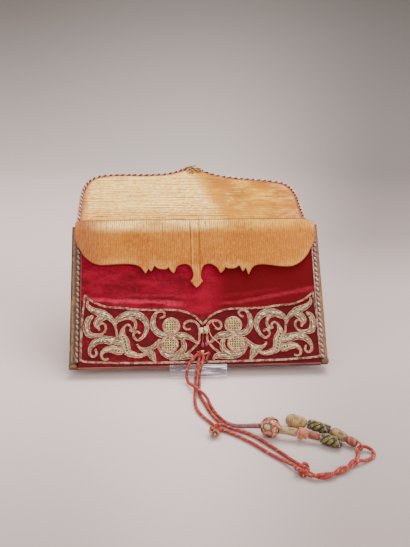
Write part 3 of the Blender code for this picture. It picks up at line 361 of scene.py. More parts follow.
TOGGLE_RINGS = (
    # name, turned piece, thickness, thread, slot, rows of fraction and radius
    ("end_knob_rings", "end_knob", 0.55, "tip_thread", "cream_thread",
     ((0.06, 2.5), (0.2, 3.65), (0.3, 4.0), (0.38, 4.1))),
    ("toggle_rings", "toggle_collar", 0.9, "ring_thread", "red_cord", ((0.1, 3.2), (0.5, 3.3), (0.84, 2.9))),
)
PLAIT_STRANDS = 4
PLAIT_TURNS = 0.95
EYE_RUN = (0.4, -0.917, 0.0)
EYE_RADIUS = 2.15

# Stand's profile: corners of its middle line and the bend radius at each
LIP_BEND = 9
STAND_PROFILE = (
    # y, z, radius
    (-10.95, 11.0, 0.0), (-10.95, 1.25, 2.75), (0.756, 1.25, 2.75), (47.398, 60.945, 4.5), (85.0, 0.68, 0.0),
)

# Paper sweep in millimetres, lights and camera in metres
SWEEP_NEAR = 1600.0
SWEEP_MIDDLE = 400.0
SWEEP_FLAT = 700.0
SWEEP_BEND = 350.0
SWEEP_TOP = 1500.0
SWEEP_SIDE = 2200.0
LIGHTS_AIM = (0.0, 0.03, 0.05)
LIGHTS = (
    # name, place, (width, length), watts
    ("overhead_box", (0.26, 0.42, 1.05), (1.0, 0.8), 21.0),
    ("front_fill", (-0.2, -1.1, 0.9), (1.2, 1.0), 12.0),
    ("side_fill", (0.9, -0.8, 0.4), (0.7, 0.6), 5.0),
)
ROOM_LIGHT = (1.0, 0.985, 0.97, 1.0)
ROOM_STRENGTH = 1.03
VIEW_TARGET = (0.0053, 0.0344, 0.0656)
VIEW_DISTANCE = 0.559
VIEW_ANGLES = (-3.562, 20.0, 0.349)
FOCAL_PIXELS = 752.4
IMAGE_HEIGHT = 547.0
SENSOR = 36.0


# Places

def panel(u, s, n):
    """World points from panel coordinates; takes numbers or arrays."""
    u, s, n = np.broadcast_arrays(np.asarray(u, float), s, n)
    y = FOOT_Y + s * sin(SLOPE) - n * cos(SLOPE)
    z = SEAT_Z + s * cos(SLOPE) + n * sin(SLOPE)
    return np.stack([u, y, z], -1) * MM


def front(u, s, lift):
    """World points over the velvet of the front."""
    return panel(u, s, DEPTH_FOOT + DEPTH_GROWTH * np.asarray(s, float) + lift)


def world(rows):
    """World points in metres from table rows."""
    return (np.array(rows, float) + (0.0, FOOT_Y, 0.0)) * MM


def smoothstep(edge0, edge1, x):
    """Smooth change from 0 to 1 while x goes from one edge to the other."""
    t = np.clip((np.asarray(x, float) - edge0) / (edge1 - edge0), 0.0, 1.0)
    return t * t * (3.0 - 2.0 * t)


def outer_point(u, v, lift):
    """World point over the inner face of the back panel and outer flap."""
    base = v - BODY_HEIGHT
    if base <= 0.0:
        return panel(u, v, VELVET + lift)
    lean = radians(FLAP_LEAN + FLAP_CURL * float(smoothstep(-4.0, 75.0, u)))
    turn = min(base / HINGE_RADIUS, lean - SLOPE)
    reach = base - HINGE_RADIUS * turn
    angle = SLOPE + turn
    y = HINGE_RADIUS * (cos(SLOPE) - cos(angle)) + sin(angle) * reach - cos(angle) * lift
    z = HINGE_RADIUS * (sin(angle) - sin(SLOPE)) + cos(angle) * reach + sin(angle) * lift
    return panel(u, BODY_HEIGHT, VELVET) + np.array((0.0, y, z)) * MM


def smooth_curve(rows, spacing):
    """Points about spacing apart on a Catmull-Rom curve through rows of any width."""
    rows = np.array(rows, float)
    ends = np.vstack([2 * rows[0] - rows[1], rows, 2 * rows[-1] - rows[-2]])
    found = []
    for before, start, end, after in zip(ends, ends[1:], ends[2:], ends[3:]):
        count = max(1, round(float(np.linalg.norm((end - start)[:3])) / spacing))
        for t in np.arange(count) / count:
            found.append(0.5 * (2 * start + (end - before) * t
                                + (2 * before - 5 * start + 4 * end - after) * t * t
                                + (3 * start - before - 3 * end + after) * t ** 3))
    return np.array(found + [rows[-1]])


def travelled(path):
    """Length of a path up to each of its points."""
    return np.concatenate([[0.0], np.cumsum(np.linalg.norm(np.diff(path, axis=0), axis=1))])


def even_path(path, step):
    """The path again with points exactly even steps apart."""
    lengths = travelled(path)
    marks = np.linspace(0.0, lengths[-1], max(2, int(round(lengths[-1] / step)) + 1))
    return np.stack([np.interp(marks, lengths, path[:, i]) for i in range(path.shape[1])], -1)


def even_sides(corners, step):
    """Even points along straight sides between corners, without the last corner."""
    return np.vstack([even_path(np.array(ends, float), step)[:-1] for ends in zip(corners, corners[1:])])


def wobble(u, v, scale, seed):
    """Smooth unevenness between about -1 and 1."""
    return noise.noise(Vector((u / scale, v / scale, seed)))


def unit(rows):
    """Vectors made one long."""
    return rows / np.maximum(np.linalg.norm(rows, axis=-1, keepdims=True), 1e-12)


def headings(path, closed=False):
    """Direction of travel at each point of a path."""
    if closed:
        return unit(np.roll(path, -1, 0) - np.roll(path, 1, 0))
    return unit(np.vstack([path[1:], path[-1:]]) - np.vstack([path[:1], path[:-1]]))


def path_frames(path, up=None, closed=False):
    """Tangent, side and out directions along a path."""
    tangent = headings(path, closed)
    if up is not None:
        side = unit(np.cross(tangent, up))
        return tangent, side, np.cross(side, tangent)
    side = np.empty_like(tangent)
    start = np.cross(tangent[0], UP)
    if np.linalg.norm(start) < 0.1:
        start = np.cross(tangent[0], (1.0, 0.0, 0.0))
    side[0] = start / np.linalg.norm(start)
    for i in range(1, len(path)):
        turned = side[i - 1] - tangent[i] * (side[i - 1] @ tangent[i])
        side[i] = turned / np.linalg.norm(turned)
    return tangent, side, np.cross(side, tangent)


def turned_axes(direction):
    """Rotation matrix whose Z axis follows a direction."""
    return np.array(Vector(direction).normalized().to_track_quat("Z", "Y").to_matrix())


# Meshes

def grid_faces(rows, columns, closed=False):
    """Faces between rows of points, each row left open or closed in a ring."""
    beside = [*range(1, columns), 0] if closed else range(1, columns)
    return [[i * columns + j, i * columns + k, (i + 1) * columns + k, (i + 1) * columns + j]
            for i in range(rows - 1) for j, k in enumerate(beside)]


def skin(path, rings, tags, up=None, closed=False):
    """Closed skin through rings of (side, out) offsets in metres along a path."""
    _, side, out = path_frames(path, up, closed)
    count, around = rings.shape[:2]
    verts = path[:, None] + side[:, None] * rings[..., :1] + out[:, None] * rings[..., 1:2]
    verts = verts.reshape(-1, 3)
    tags = tags.reshape(-1, 3)
    i, j = np.meshgrid(np.arange(count if closed else count - 1), np.arange(around), indexing="ij")
    after, beside = (i + 1) % count, (j + 1) % around
    faces = np.stack([i * around + j, after * around + j, after * around + beside, i * around + beside], -1)
    faces = faces.reshape(-1, 4).tolist()
    if not closed:
        for ring, turn in ((0, 1), (count - 1, -1)):
            centre = len(verts)
            verts = np.vstack([verts, path[ring]])
            tags = np.vstack([tags, tags[ring * around:(ring + 1) * around].mean(0)])
            first = ring * around
            for k in range(around):
                pair = [first + k, first + (k + 1) % around]
                faces.append([centre] + pair[::turn])
    return verts, faces, tags


def build(name, chunks, finish, sharp=50.0):
    """One object from several skins; their tags become the attribute flat."""
    verts, faces, tags = [], [], []
    for chunk_verts, chunk_faces, chunk_tags in chunks:
        start = sum(len(v) for v in verts)
        faces += [[k + start for k in face] for face in chunk_faces]
        verts.append(chunk_verts)
        tags.append(chunk_tags)
    mesh = bpy.data.meshes.new(name)
    mesh.from_pydata(np.vstack(verts).tolist(), [], faces)
    flat = mesh.attributes.new("flat", "FLOAT_VECTOR", "POINT")
    flat.data.foreach_set("vector", np.vstack(tags).astype(np.float32).ravel())
    mesh.shade_smooth()
    mesh.set_sharp_from_angle(angle=radians(sharp))
    mesh.materials.append(finish)
    made = bpy.data.objects.new(name, mesh)
    bpy.context.scene.collection.objects.link(made)
    return made


def dress(made, slot, *nodes):
    """Let a piece ride on the pouch and stand for frame nodes, which it hides; its slot is not used."""
    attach(made, "root")
    if nodes:
        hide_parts(*nodes)
    return made


def piece(name, chunks, finish, slot, *nodes, sharp=50.0):
    """A piece built from skins and dressed."""
    return dress(build(name, chunks, finish, sharp), slot, *nodes)


def circle(count):
    """Angles evenly round a circle, without the one that closes it."""
    return np.linspace(0.0, 2 * pi, count, endpoint=False)


def round_rings(radius, angle, along, twist=0.0):
    """Rings of a round thread; their tags say how far along and on which side a point lies."""
    side = angle - twist + 0.0 * along
    tags = np.stack([along / MM + 0.0 * angle, np.cos(side), np.sin(side)], -1)
    return np.stack([radius * np.cos(angle), radius * np.sin(angle)], -1), tags


def ply_outline(angle, plies, floor=0.6):
    """Outline of round plies twisted together, as a share of the rope's radius."""
    ply = sin(pi / plies) / (1.0 + sin(pi / plies))
    wedge = 2.0 * pi / plies
    angle = (angle + wedge / 2) % wedge - wedge / 2
    half_chord = np.sqrt(np.maximum(ply ** 2 - ((1.0 - ply) * np.sin(angle)) ** 2, 0.0))
    return np.maximum((1.0 - ply) * np.cos(angle) + half_chord, floor)


def rope(path, diameter, plies, pitch, up=None, closed=False, around=None, step=None):
    """Twisted cord in metres; pitch, a full turn of a ply, may be negative for the other hand."""
    path = even_path(path, step or abs(pitch) / 12.0)
    if closed:
        path = path[:-1]
    along = np.arange(len(path)) * np.linalg.norm(path[1] - path[0])
    if closed:
        pitch = along[-1] / max(1.0, round(abs(along[-1] / pitch))) * np.sign(pitch)
    angle = circle(around or 8 * plies)[None, :]
    twist = (2.0 * pi * along / pitch)[:, None]
    radius = diameter / 2 * ply_outline(angle - twist, plies)
    return skin(path, *round_rings(radius, angle, along[:, None], twist), up, closed)


def twine(path, size_and_turn):
    """Twisted thread of two plies from its thickness and turn in millimetres."""
    thickness, turn = size_and_turn
    return rope(path, thickness * MM, 2, turn * MM)


def tube(path, radius, sides=8, up=None, closed=False):
    """Plain round thread."""
    radius = np.broadcast_to(radius, len(path))[:, None]
    return skin(path, *round_rings(radius, circle(sides)[None, :], travelled(path)[:, None]), up, closed)


def inside(points, outline):
    """Which points lie inside a closed outline, and each point's distance from it."""
    hit = np.zeros(len(points), bool)
    near = np.full(len(points), 1e9)
    for start, end in zip(outline, np.roll(outline, -1, 0)):
        rise = end[1] - start[1]
        crosses = (points[:, 1] < start[1]) != (points[:, 1] < end[1])
        x = start[0] + (points[:, 1] - start[1]) * (end[0] - start[0]) / (rise if rise else 1e-12)
        hit ^= crosses & (points[:, 0] < x)
        run = end - start
        t = np.clip((points - start) @ run / max(run @ run, 1e-12), 0.0, 1.0)
        near = np.minimum(near, np.linalg.norm(points - start - t[:, None] * run, axis=1))
    return hit, near


def soften(made, name, width, angle):
    """Bevel the edges that are sharper than an angle in degrees."""
    bevel = made.modifiers.new(name, "BEVEL")
    bevel.width = width * MM
    bevel.segments = 2
    bevel.limit_method = "ANGLE"
    bevel.angle_limit = radians(angle)
    bevel.harden_normals = True
    return bevel


def sheet(name, outline, step, place, thickness, offset, finish, rim=0.25):
    """Cloth or leather cut to an outline, filled with even points and bent by place(u, v)."""
    outline = np.array(outline)
    low, high = outline.min(0), outline.max(0)
    rows = []
    for i, v in enumerate(np.arange(low[1], high[1], step * 0.87)):
        u = np.arange(low[0] + (i % 2) * step / 2, high[0], step)
        rows.append(np.stack([u, np.full_like(u, v)], -1))
    grid = np.vstack(rows)
    hit, near = inside(grid, outline)
    points = np.vstack([outline, grid[hit & (near > 0.5 * step)]])
    cut = delaunay_2d_cdt([Vector(p) for p in points], [], [list(range(len(outline)))], 1, 1e-5)
    flat_points = np.array([tuple(p) for p in cut[0]])
    faces = [face for face, origin in zip(cut[2], cut[5]) if origin]
    edge = inside(flat_points, outline)[1]
    verts = np.array([place(u, v) for u, v in flat_points])
    made = build(name, [(verts, faces, np.column_stack([flat_points, edge]))], finish, 180.0)
    solid = made.modifiers.new("thickness", "SOLIDIFY")
    solid.thickness = thickness * MM
    solid.offset = offset
    soften(made, "soft_rim", rim, 55.0).use_clamp_overlap = False
    return made


# Colours of the threads
THREADS = {
    # name: (light, or a colour that the user chooses, dark, plies, tarnish and painted glint, metallic)
    "piping_left": ((104, 36, 34), (70, 22, 24), 2.0, 0.6, 0.0),
    "piping_right": ((178, 132, 116), (110, 60, 52), 2.0, 0.6, 0.0),
    "seam_thread": ((132, 74, 50), (78, 40, 30), 2.0, 0.7, 0.0),
    "tuft_thread": ((160, 112, 60), (60, 38, 24), 2.0, 0.9, 0.0),
    "edge_thread": ("edge_thread", (92, 54, 42), 2.0, 0.95, 0.0),
    "lattice_thread": ((206, 174, 112), (108, 82, 50), 2.0, 0.7, 0.0),
    # near-black dome under the lattice: painted shade in the lattice's holes
    "bud_base": ((30, 20, 12), (18, 12, 8), 2.0, 0.0, 0.0),
    "pink_thread": ((222, 150, 124), (150, 72, 58), 2.0, 0.35, 0.1),
    "button_thread": ((255, 220, 168), (96, 76, 44), 2.0, 0.75, 0.0),
    "button_tan": ((204, 142, 92), (120, 76, 44), 2.0, 0.35, 0.0),
    "button_olive": ((128, 100, 60), (62, 48, 30), 2.0, 0.7, 0.0),
    "loop_silk": ((138, 26, 56), (80, 12, 26), 2.0, 0.35, 0.0),
    "knot_cream": ((158, 104, 76), (82, 48, 36), 2.0, 0.8, 0.0),
    "ball_cream": ((190, 142, 108), (98, 66, 44), 2.0, 0.9, 0.0),
    "ball_red": ((168, 70, 62), (92, 36, 34), 2.0, 0.7, 0.0),
    "heart_cream": ((170, 144, 108), (112, 84, 60), 2.0, 0.8, 0.0),
    "heart_olive": ((104, 86, 52), (56, 44, 30), 2.0, 0.6, 0.0),
    "lilac_silk": ((160, 142, 140), (70, 52, 64), 3.0, 0.7, 0.0),
    "yellow_silk": ("plait_yellow", (50, 42, 20), 3.0, 0.95, 0.0),
    "dark_silk": ("plait_dark", (30, 22, 26), 3.0, 0.5, 0.0),
    "tip_thread": ((112, 84, 60), (60, 42, 34), 2.0, 0.7, 0.0),
    "ring_thread": ((196, 92, 62), (120, 44, 34), 2.0, 0.35, 0.0),
    "eye_wire": ((176, 84, 62), (96, 40, 32), 2.0, 0.35, 0.1),
}
WINDINGS = {
    # name: (light, dark, pitch)
    "cream": ((188, 146, 88), (122, 90, 56), 0.62),
    "collar": ((168, 118, 80), (146, 70, 44), 0.7),
    "shaft": ((168, 136, 96), (122, 90, 64), 0.62),
    "red": ((136, 68, 38), (98, 42, 30), 0.7),
    "sleeve": ((160, 122, 72), (88, 60, 38), 0.62),
    "mauve": ((142, 84, 84), (92, 60, 66), 1.1),
}
TRIMS = {
    # name: (pale pair, dark pair, gleam, depth of the groove's shade, where the dark ply starts)
    "flap": (((222, 150, 114), (202, 124, 86)), ((84, 40, 30), (58, 32, 30)), 0.7, 0.35, 0.0),
    "left": (((142, 126, 86), (130, 112, 90)), ((74, 54, 40), (78, 52, 54)), 0.24, 0.6, -0.5),
    "right": (((184, 156, 138), (150, 122, 102)), ((76, 50, 60), (96, 66, 48)), 0.8, 0.7, -0.5),
}
GUSSET_BANDS = {
    # name: ((distance from the axis, colour), ...)
    "left": ((87.0, (96, 44, 40)), (90.9, (98, 66, 50)), (91.7, (126, 94, 74)), (92.7, (148, 112, 72)),
             (93.3, (104, 74, 46)), (94.0, (50, 32, 22))),
    "right": ((87.0, (90, 42, 38)), (90.9, (122, 72, 54)), (91.6, (156, 104, 74)), (92.2, (68, 24, 18)),
              (92.7, (164, 112, 76)), (93.4, (72, 28, 24)), (93.9, (140, 94, 50)), (94.4, (84, 58, 32))),
}

# Pressed streaks of the front's velvet, painted as highlights
STREAK_HIGHLIGHTS = (
    # height at the axis, rise, reach to the sides, colour, strength
    (45.2, 0.062, 92.0, (186, 48, 72), 0.75), (51.5, 0.02, 60.0, (160, 30, 52), 0.45),
)

# Studio paper: its brightness from its near edge to its far one, and how much each side loses
PAPER_LEVEL = (
    (0.0, 0.49), (0.072, 0.65), (0.101, 0.75), (0.139, 0.87), (0.19, 1.0), (0.261, 0.91), (0.368, 0.87),
    (0.547, 0.79), (0.7, 0.54), (0.782, 0.375), (0.846, 0.24), (1.0, 0.11),
)
PAPER_RIGHT = (
    (0.0, 0.2), (0.073, 0.3), (0.14, 0.36), (0.27, 0.37), (0.37, 0.62), (0.547, 0.68), (0.7, 0.54),
    (0.782, 0.45), (0.846, 0.34), (1.0, 0.3),
)
PAPER_LEFT = ((0.0, 0.2), (0.19, 0.08), (0.261, 0.16), (0.35, 0.02), (0.6, 0.02), (0.85, 0.16))


# Materials

def rgb(red, green, blue):
    """A display colour of 0 to 255 as linear values."""
    return tuple((c / 255.0) ** 2.2 for c in (red, green, blue)) + (1.0,)


def tint(name):
    """One of the colours that the user can choose."""
    return tuple(getattr(bpy.context.scene.pouch_colours, name))


def size(name):
    """One of the sizes that the user can choose, in millimetres."""
    return getattr(bpy.context.scene.pouch_sizes, name) / MM


def once(maker):
    """Keep one result of a maker for each of its arguments."""
    kept = {}

    def get(*args):
        if args not in kept:
            kept[args] = maker(*args)
        return kept[args]
    return get


class Output:
    """A node's output, which can be reckoned with like a number."""

    def __init__(self, graph, socket):
        self.graph = graph
        self.socket = socket

    def __add__(self, other):
        return self.graph.math("ADD", self, other)

    def __sub__(self, other):
        return self.graph.math("SUBTRACT", self, other)

    def __rsub__(self, other):
        return self.graph.math("SUBTRACT", other, self)

    def __mul__(self, other):
        return self.graph.math("MULTIPLY", self, other)

    def __truediv__(self, other):
        return self.graph.math("DIVIDE", self, other)

    def __mod__(self, other):
        return self.graph.math("MODULO", self, other)

    def __abs__(self):
        return self.graph.math("ABSOLUTE", self)


class Graph:
    """Short-hand for building one node tree."""

    def __init__(self, tree):
        self.tree = tree

    def node(self, kind, inputs=None, **settings):
        made = self.tree.nodes.new(kind)
        for key, value in settings.items():
            setattr(made, key, value)
        for key, value in (inputs or {}).items():
            self.feed(made.inputs[key], value)
        return made

    def feed(self, socket, value):
        if isinstance(value, Output):
            self.tree.links.new(value.socket, socket)
        else:
            socket.default_value = value

    def outputs(self, made):
        return {socket.name: Output(self, socket) for socket in made.outputs}

    def math(self, operation, a, b=0.0):
        made = self.node("ShaderNodeMath", {0: a, 1: b}, operation=operation)
        return Output(self, made.outputs[0])

    def vector(self, operation, a, b=(0.0, 0.0, 0.0)):
        made = self.node("ShaderNodeVectorMath", {0: a, 1: b}, operation=operation)
        return Output(self, made.outputs["Value" if operation == "LENGTH" else "Vector"])

    def stretch(self, vector, x, y, z):
        return self.vector("MULTIPLY", vector, (x, y, z))

    def split(self, vector):
        return [Output(self, socket) for socket in self.node("ShaderNodeSeparateXYZ", {0: vector}).outputs]

    def join(self, x, y, z=0.0):
        return Output(self, self.node("ShaderNodeCombineXYZ", {0: x, 1: y, 2: z}).outputs[0])

    def position(self):
        return self.outputs(self.node("ShaderNodeNewGeometry"))["Position"]

    def mix(self, factor, a, b):
        made = self.node("ShaderNodeMix", {0: factor, 6: a, 7: b}, data_type="RGBA")
        return Output(self, made.outputs[2])

    def washed(self, colour, *layers):
        """The colour under layers of share and paint, laid on in turn."""
        for share, paint in layers:
            colour = self.mix(share, colour, paint)
        return colour

    def step(self, value, low, high, to_low=0.0, to_high=1.0):
        """Smooth change from to_low to to_high while value goes from low to high."""
        inputs = {"Value": value, "From Min": low, "From Max": high, "To Min": to_low, "To Max": to_high}
        made = self.node("ShaderNodeMapRange", inputs, interpolation_type="SMOOTHSTEP")
        return Output(self, made.outputs[0])

    def ramp(self, value, stops):
        """Level that follows stops of position and level."""
        made = self.node("ShaderNodeValToRGB", {0: value})
        points = made.color_ramp.elements
        while len(points) < len(stops):
            points.new(1.0)
        for point, (place, level) in zip(points, stops):
            point.position = place
            point.color = (level, level, level, 1.0)
        return Output(self, made.outputs[0])

    def noise(self, vector, scale, detail=2.0, roughness=0.5):
        inputs = {"Vector": vector, "Scale": scale, "Detail": detail, "Roughness": roughness}
        return Output(self, self.node("ShaderNodeTexNoise", inputs).outputs[0])

    def turn(self, vector):
        """Angle round a thread, from its flat coordinates."""
        _, across, out = self.split(vector)
        return self.math("ARCTAN2", out, across)

    def group(self, name, **inputs):
        made = self.node("ShaderNodeGroup")
        made.node_tree = GROUPS[name]()
        for key, value in inputs.items():
            self.feed(made.inputs[key], value)
        return self.outputs(made)


class Finish(Graph):
    """A Principled material in the making, with its flat coordinates."""

    def __init__(self, name, **fixed):
        self.material = bpy.data.materials.new(name)
        self.material.use_nodes = True
        super().__init__(self.material.node_tree)
        self.shader = self.tree.nodes["Principled BSDF"].inputs
        for key, value in fixed.items():
            self.shader[key.replace("_", " ")].default_value = value
        self.flat = Output(self, self.node("ShaderNodeAttribute", attribute_name="flat").outputs["Vector"])

    def made(self, height=None, depth=0.0, **levels):
        """The material with its shader fed and a bump whose height of 1 is depth millimetres."""
        for key, value in levels.items():
            self.feed(self.shader[key.replace("_", " ")], value)
        if height:
            bump = self.node("ShaderNodeBump", {"Height": height, "Distance": depth * MM, "Strength": 1.0})
            self.tree.links.new(bump.outputs[0], self.shader["Normal"])
        return self.material


GROUPS = {}


def node_group(name, **inputs):
    """Make a shader node group of a function from float or vector inputs to float outputs."""
    def keep(work_out):
        def make_group():
            tree = bpy.data.node_groups.new(name, "ShaderNodeTree")
            for label, value in inputs.items():
                kind = "NodeSocketFloat" if isinstance(value, float) else "NodeSocketVector"
                tree.interface.new_socket(label, in_out="INPUT", socket_type=kind).default_value = value
            g = Graph(tree)
            results = work_out(g, g.outputs(g.node("NodeGroupInput")))
            for label in results:
                tree.interface.new_socket(label, in_out="OUTPUT", socket_type="NodeSocketFloat")
            g.node("NodeGroupOutput", results)
            return tree
        GROUPS[name] = once(make_group)
        return work_out
    return keep


@node_group("LaidThreads", Flat=(0.0, 0.0, 0.0), Pitch=0.6, Tie=1.7)
def laid_threads(g, given):
    """Ribs of thread laid across a band and tied down in staggered rows."""
    x, y, z = g.split(given["Flat"])
    row_width = 0.85
    along = x + g.noise(given["Flat"], 0.7) * 0.5
    rib = abs(g.math("SINE", along / given["Pitch"] * pi))
    row = y * z / row_width
    stagger = g.math("FLOOR", row + 40.0) % 2.0 * 0.5
    tie_along = abs(g.math("FRACT", along / given["Tie"] + (stagger + 50.0)) - 0.5)
    tie_across = abs(g.math("FRACT", row + 40.0) - 0.5)
    tied = g.step(tie_along * given["Tie"] + tie_across * row_width, 0.16, 0.42, 1.0, 0.0)
    return {"Height": rib - tied * 1.1, "Shade": g.step(rib, 0.0, 0.7), "Tied": tied}


@node_group("OldMetal", Place=(0.0, 0.0, 0.0))
def metal_tarnish_and_glints(g, given):
    """Patchy wear of metal thread: dull tarnished spots, and bright spots that are painted glints."""
    place = given["Place"]
    return {
        "Hue": g.step(g.noise(place, 150.0, 3.0, 0.6), 0.44, 0.56),
        "Rose": g.step(g.noise(g.stretch(place, 1.0, 0.8, 1.2), 210.0, 2.0, 0.6), 0.54, 0.66),
        "Bright": g.step(g.noise(place, 480.0, 3.0, 0.7), 0.51, 0.63),
        "Dull": g.step(g.noise(g.stretch(place, 1.0, 1.3, 0.8), 430.0, 3.0, 0.7), 0.5, 0.37),
    }


@node_group("HideGrain", Flat=(0.0, 0.0, 0.0), Spacing=1.3, Length=9.0)
def hide_grain(g, given):
    """Long wavering creases of worn leather, running along Y of its coordinates."""
    flat = given["Flat"]
    x, y, _ = g.split(flat)
    place = g.join(x / given["Spacing"], y / given["Length"])
    wander = g.noise(place, 0.55, 3.0, 0.6)
    wave = g.math("SINE", (x / given["Spacing"] + wander * 2.2) * (2.0 * pi))
    lined = g.step(g.noise(place, 0.8, 3.0, 0.7), 0.3, 0.52)
    blotch = g.noise(g.stretch(flat, 0.42, 0.3, 0.0), 1.0, 4.0, 0.7)
    pores = g.noise(flat, 0.9, 3.0, 0.7)
    crease = g.step(wave, -0.45, -0.95) * lined
    mottle = blotch + pores * 0.6
    return {
        "Height": blotch * 0.6 + pores * 0.5 - crease * 0.45,
        "Crease": crease,
        "Ridge": g.step(mottle, 0.78, 0.98),
        "Dark": g.step(mottle, 0.79, 0.6),
        "Tone": g.noise(flat, 0.045, 4.0, 0.6),
    }


@node_group("TwistedPlies", Flat=(0.0, 0.0, 0.0), Plies=3.0)
def twisted_plies(g, given):
    """Fibre relief of a twisted cord and how deep a point lies between its plies."""
    flat = given["Flat"]
    groove = abs(g.math("COSINE", g.turn(flat) * 0.5 * given["Plies"]))
    fibre = g.noise(g.stretch(flat, 1.1, 5.0, 5.0), 1.0, 3.0, 0.6)
    return {
        "Height": groove + fibre * 0.8,
        "Groove": g.step(groove, 0.0, 0.55, 1.0, 0.0),
        "Fleck": g.step(g.noise(g.stretch(flat, 0.5, 1.6, 1.6), 1.0, 2.0), 0.55, 0.68),
    }


@node_group("VelvetPile", Flat=(0.0, 0.0, 0.0))
def velvet_pile(g, given):
    """Crushed pile: broad crushed patches, finer strokes and the nap's specks."""
    flat = given["Flat"]
    return {
        "Patch": g.noise(g.stretch(flat, 0.035, 0.09, 0.0), 1.0, 4.0, 0.6),
        "Stroke": g.noise(g.stretch(flat, 0.27, 0.4, 0.0), 1.0, 4.0, 0.7),
        "Nap": g.noise(g.stretch(flat, 0.9, 1.3, 0.0), 1.0, 3.0, 0.75),
    }


@once
def velvet(part):
    """Worn crimson velvet, with painted shade along its seams; the front carries pressed streaks above its
    braid, painted as highlights.
    """
    g = Finish(f"velvet_{part}", Roughness=0.8, Sheen_Weight=0.17, Sheen_Roughness=0.4,
               Sheen_Tint=rgb(200, 50, 80), Specular_IOR_Level=0.1)
    pile = g.group("VelvetPile", Flat=g.flat)
    stroke, nap = pile["Stroke"], pile["Nap"]
    colour = g.washed(
        g.mix(g.step(pile["Patch"], 0.34, 0.66), tint("velvet_deep"), tint("velvet_lit")),
        (g.step(stroke, 0.5, 0.75) * 0.3, rgb(160, 30, 54)),
        (g.step(stroke, 0.5, 0.3) * 0.35, rgb(72, 2, 10)))
    if part == "front":
        colour = pressed_velvet(g, colour, pile["Patch"], stroke)
    # darker within 1.6 mm of the cut edge: painted shade along the seams
    wear_and_seam_shade = g.step(g.split(g.flat)[2], 1.6, 0.0)
    colour = g.washed(colour, (g.step(nap, 0.52, 0.36) * 0.35, rgb(58, 2, 8)), (wear_and_seam_shade * 0.5, rgb(60, 12, 16)))
    return g.made(nap + stroke * 1.4, 0.16, Base_Color=colour)


def pressed_velvet(g, colour, patch, stroke):
    """The front's colour: duller to the right, painted shade in patches over the embroidered field, painted
    highlights along its streaks and a painted highlight in its lit middle.
    """
    u, s, _ = g.split(g.flat)
    across = abs(u - EMBROIDERY_AXIS)
    colour = g.mix(g.step(u, 4.0, 26.0) * g.step(s, 34.0, 50.0, 0.35, 0.9), colour, rgb(90, 0, 12))
    # each streak is a painted highlight where the pressed pile catches the light
    for height, rise, reach, paint, strength in STREAK_HIGHLIGHTS:
        line = s - across * rise - g.step(u, 20.0, 90.0, 0.0, 6.0)
        away = abs(line + (patch - 0.5) * 8.0 - height)
        highlight_streak = g.step(away, 2.4, 0.2) * g.step(across, 6.0, 22.0)
        highlight_streak = highlight_streak * g.step(stroke, 0.26, 0.6, 0.25, 1.0) * g.step(across, reach + 6.0, reach - 10.0)
        side = g.step(u, -4.0, 8.0, strength, strength * 0.44)
        colour = g.mix(highlight_streak * side, colour, rgb(*paint))
    # painted highlight up the middle of the front
    lit = g.step(across, 18.0, 2.0) * g.step(s, 30.0, 40.0) * 0.4
    # darker, browner patches in the embroidered field: painted shade of the raised needlework
    field = g.step(s - across * 0.07, 40.0, 37.0) * g.step(stroke, 0.62, 0.42, 0.25, 0.75)
    return g.washed(colour, (lit, rgb(156, 16, 44)), (field, rgb(62, 24, 24)))


@once
def lining_leather():
    """Tan leather of the lining, with level creases and pale stretches that are a painted highlight."""
    g = Finish("leather_lining", Specular_IOR_Level=0.12)
    u, v, edge = g.split(g.flat)
    grain = g.group("HideGrain", Flat=g.join(v, u), Spacing=2.3, Length=30.0)
    tone, crease = grain["Tone"], grain["Crease"]
    slant = u - (150.0 - v) * 0.3 + (tone - 0.5) * 34.0
    patch = g.noise(g.stretch(g.flat, 0.06, 0.085, 0.0), 1.0, 5.0, 0.7)
    # pale stretches on the left and whitish patches on the right: painted highlight
    pale = g.step(slant, 21.0, 3.0) * g.step(u, -87.0, -82.0, 0.15, 1.0) * g.step(v, 118.0, 136.0, 0.45, 1.0)
    right = g.step(patch, 0.46, 0.62) * g.step(u, 10.0, 30.0)
    lining_highlight = g.math("MAXIMUM", pale * g.step(patch, 0.26, 0.5, 0.5, 1.0), right * 0.3)
    lining_highlight = lining_highlight * (1.0 - crease * 0.75)
    colour = g.washed(
        g.mix(g.step(tone, 0.35, 0.65), rgb(166, 100, 6), tint("lining_tan")),
        (lining_highlight, tint("rubbed_tan")),
        # painted glints on the grain's ridges inside the painted highlight
        (grain["Ridge"] * lining_highlight * 0.92, g.mix(g.step(u, 6.0, 40.0), rgb(255, 238, 190), rgb(255, 222, 108))),
        (g.step(u, -68.0, -84.0) * g.step(patch, 0.4, 0.6) * 0.2, rgb(226, 140, 104)),
        (g.step(u, 62.0, 80.0) * g.step(patch, 0.4, 0.6) * 0.4, rgb(226, 160, 118)),
        (grain["Dark"] * 0.5, rgb(176, 110, 26)),
        (crease * 0.75, rgb(132, 77, 22)),
        (g.step(edge, 1.8, 0.6) * 0.5, rgb(150, 84, 46)))
    return g.made(grain["Height"], 0.32, Base_Color=colour,
                  Roughness=g.step(grain["Height"], 0.2, 0.9, 0.65, 0.5))


def tooling(g, u, v, reach, strap):
    """How deep the tooled lines, rings and lozenge are pressed into the inner flap."""
    cuts = [(abs(u - line), strap) for line in TOOLED_LINES]
    for at, s, radius in TOOLED_RINGS:
        there = g.stretch(g.vector("SUBTRACT", g.flat, (at, reach - s, 0.0)), 1.0, 1.0, 0.0)
        cuts.append((abs(g.vector("LENGTH", there) - radius), 0.5))
    at, s, radius = TOOLED_LOZENGE
    away = abs(u - at) + abs(v - (reach - s))
    cuts += [(abs(away - radius), 0.5), (away, 1.0)]
    tooled = 0.0
    for away, share in cuts:
        tooled = g.math("MAXIMUM", tooled, g.step(away, 0.62, 0.2) * share)
    return tooled


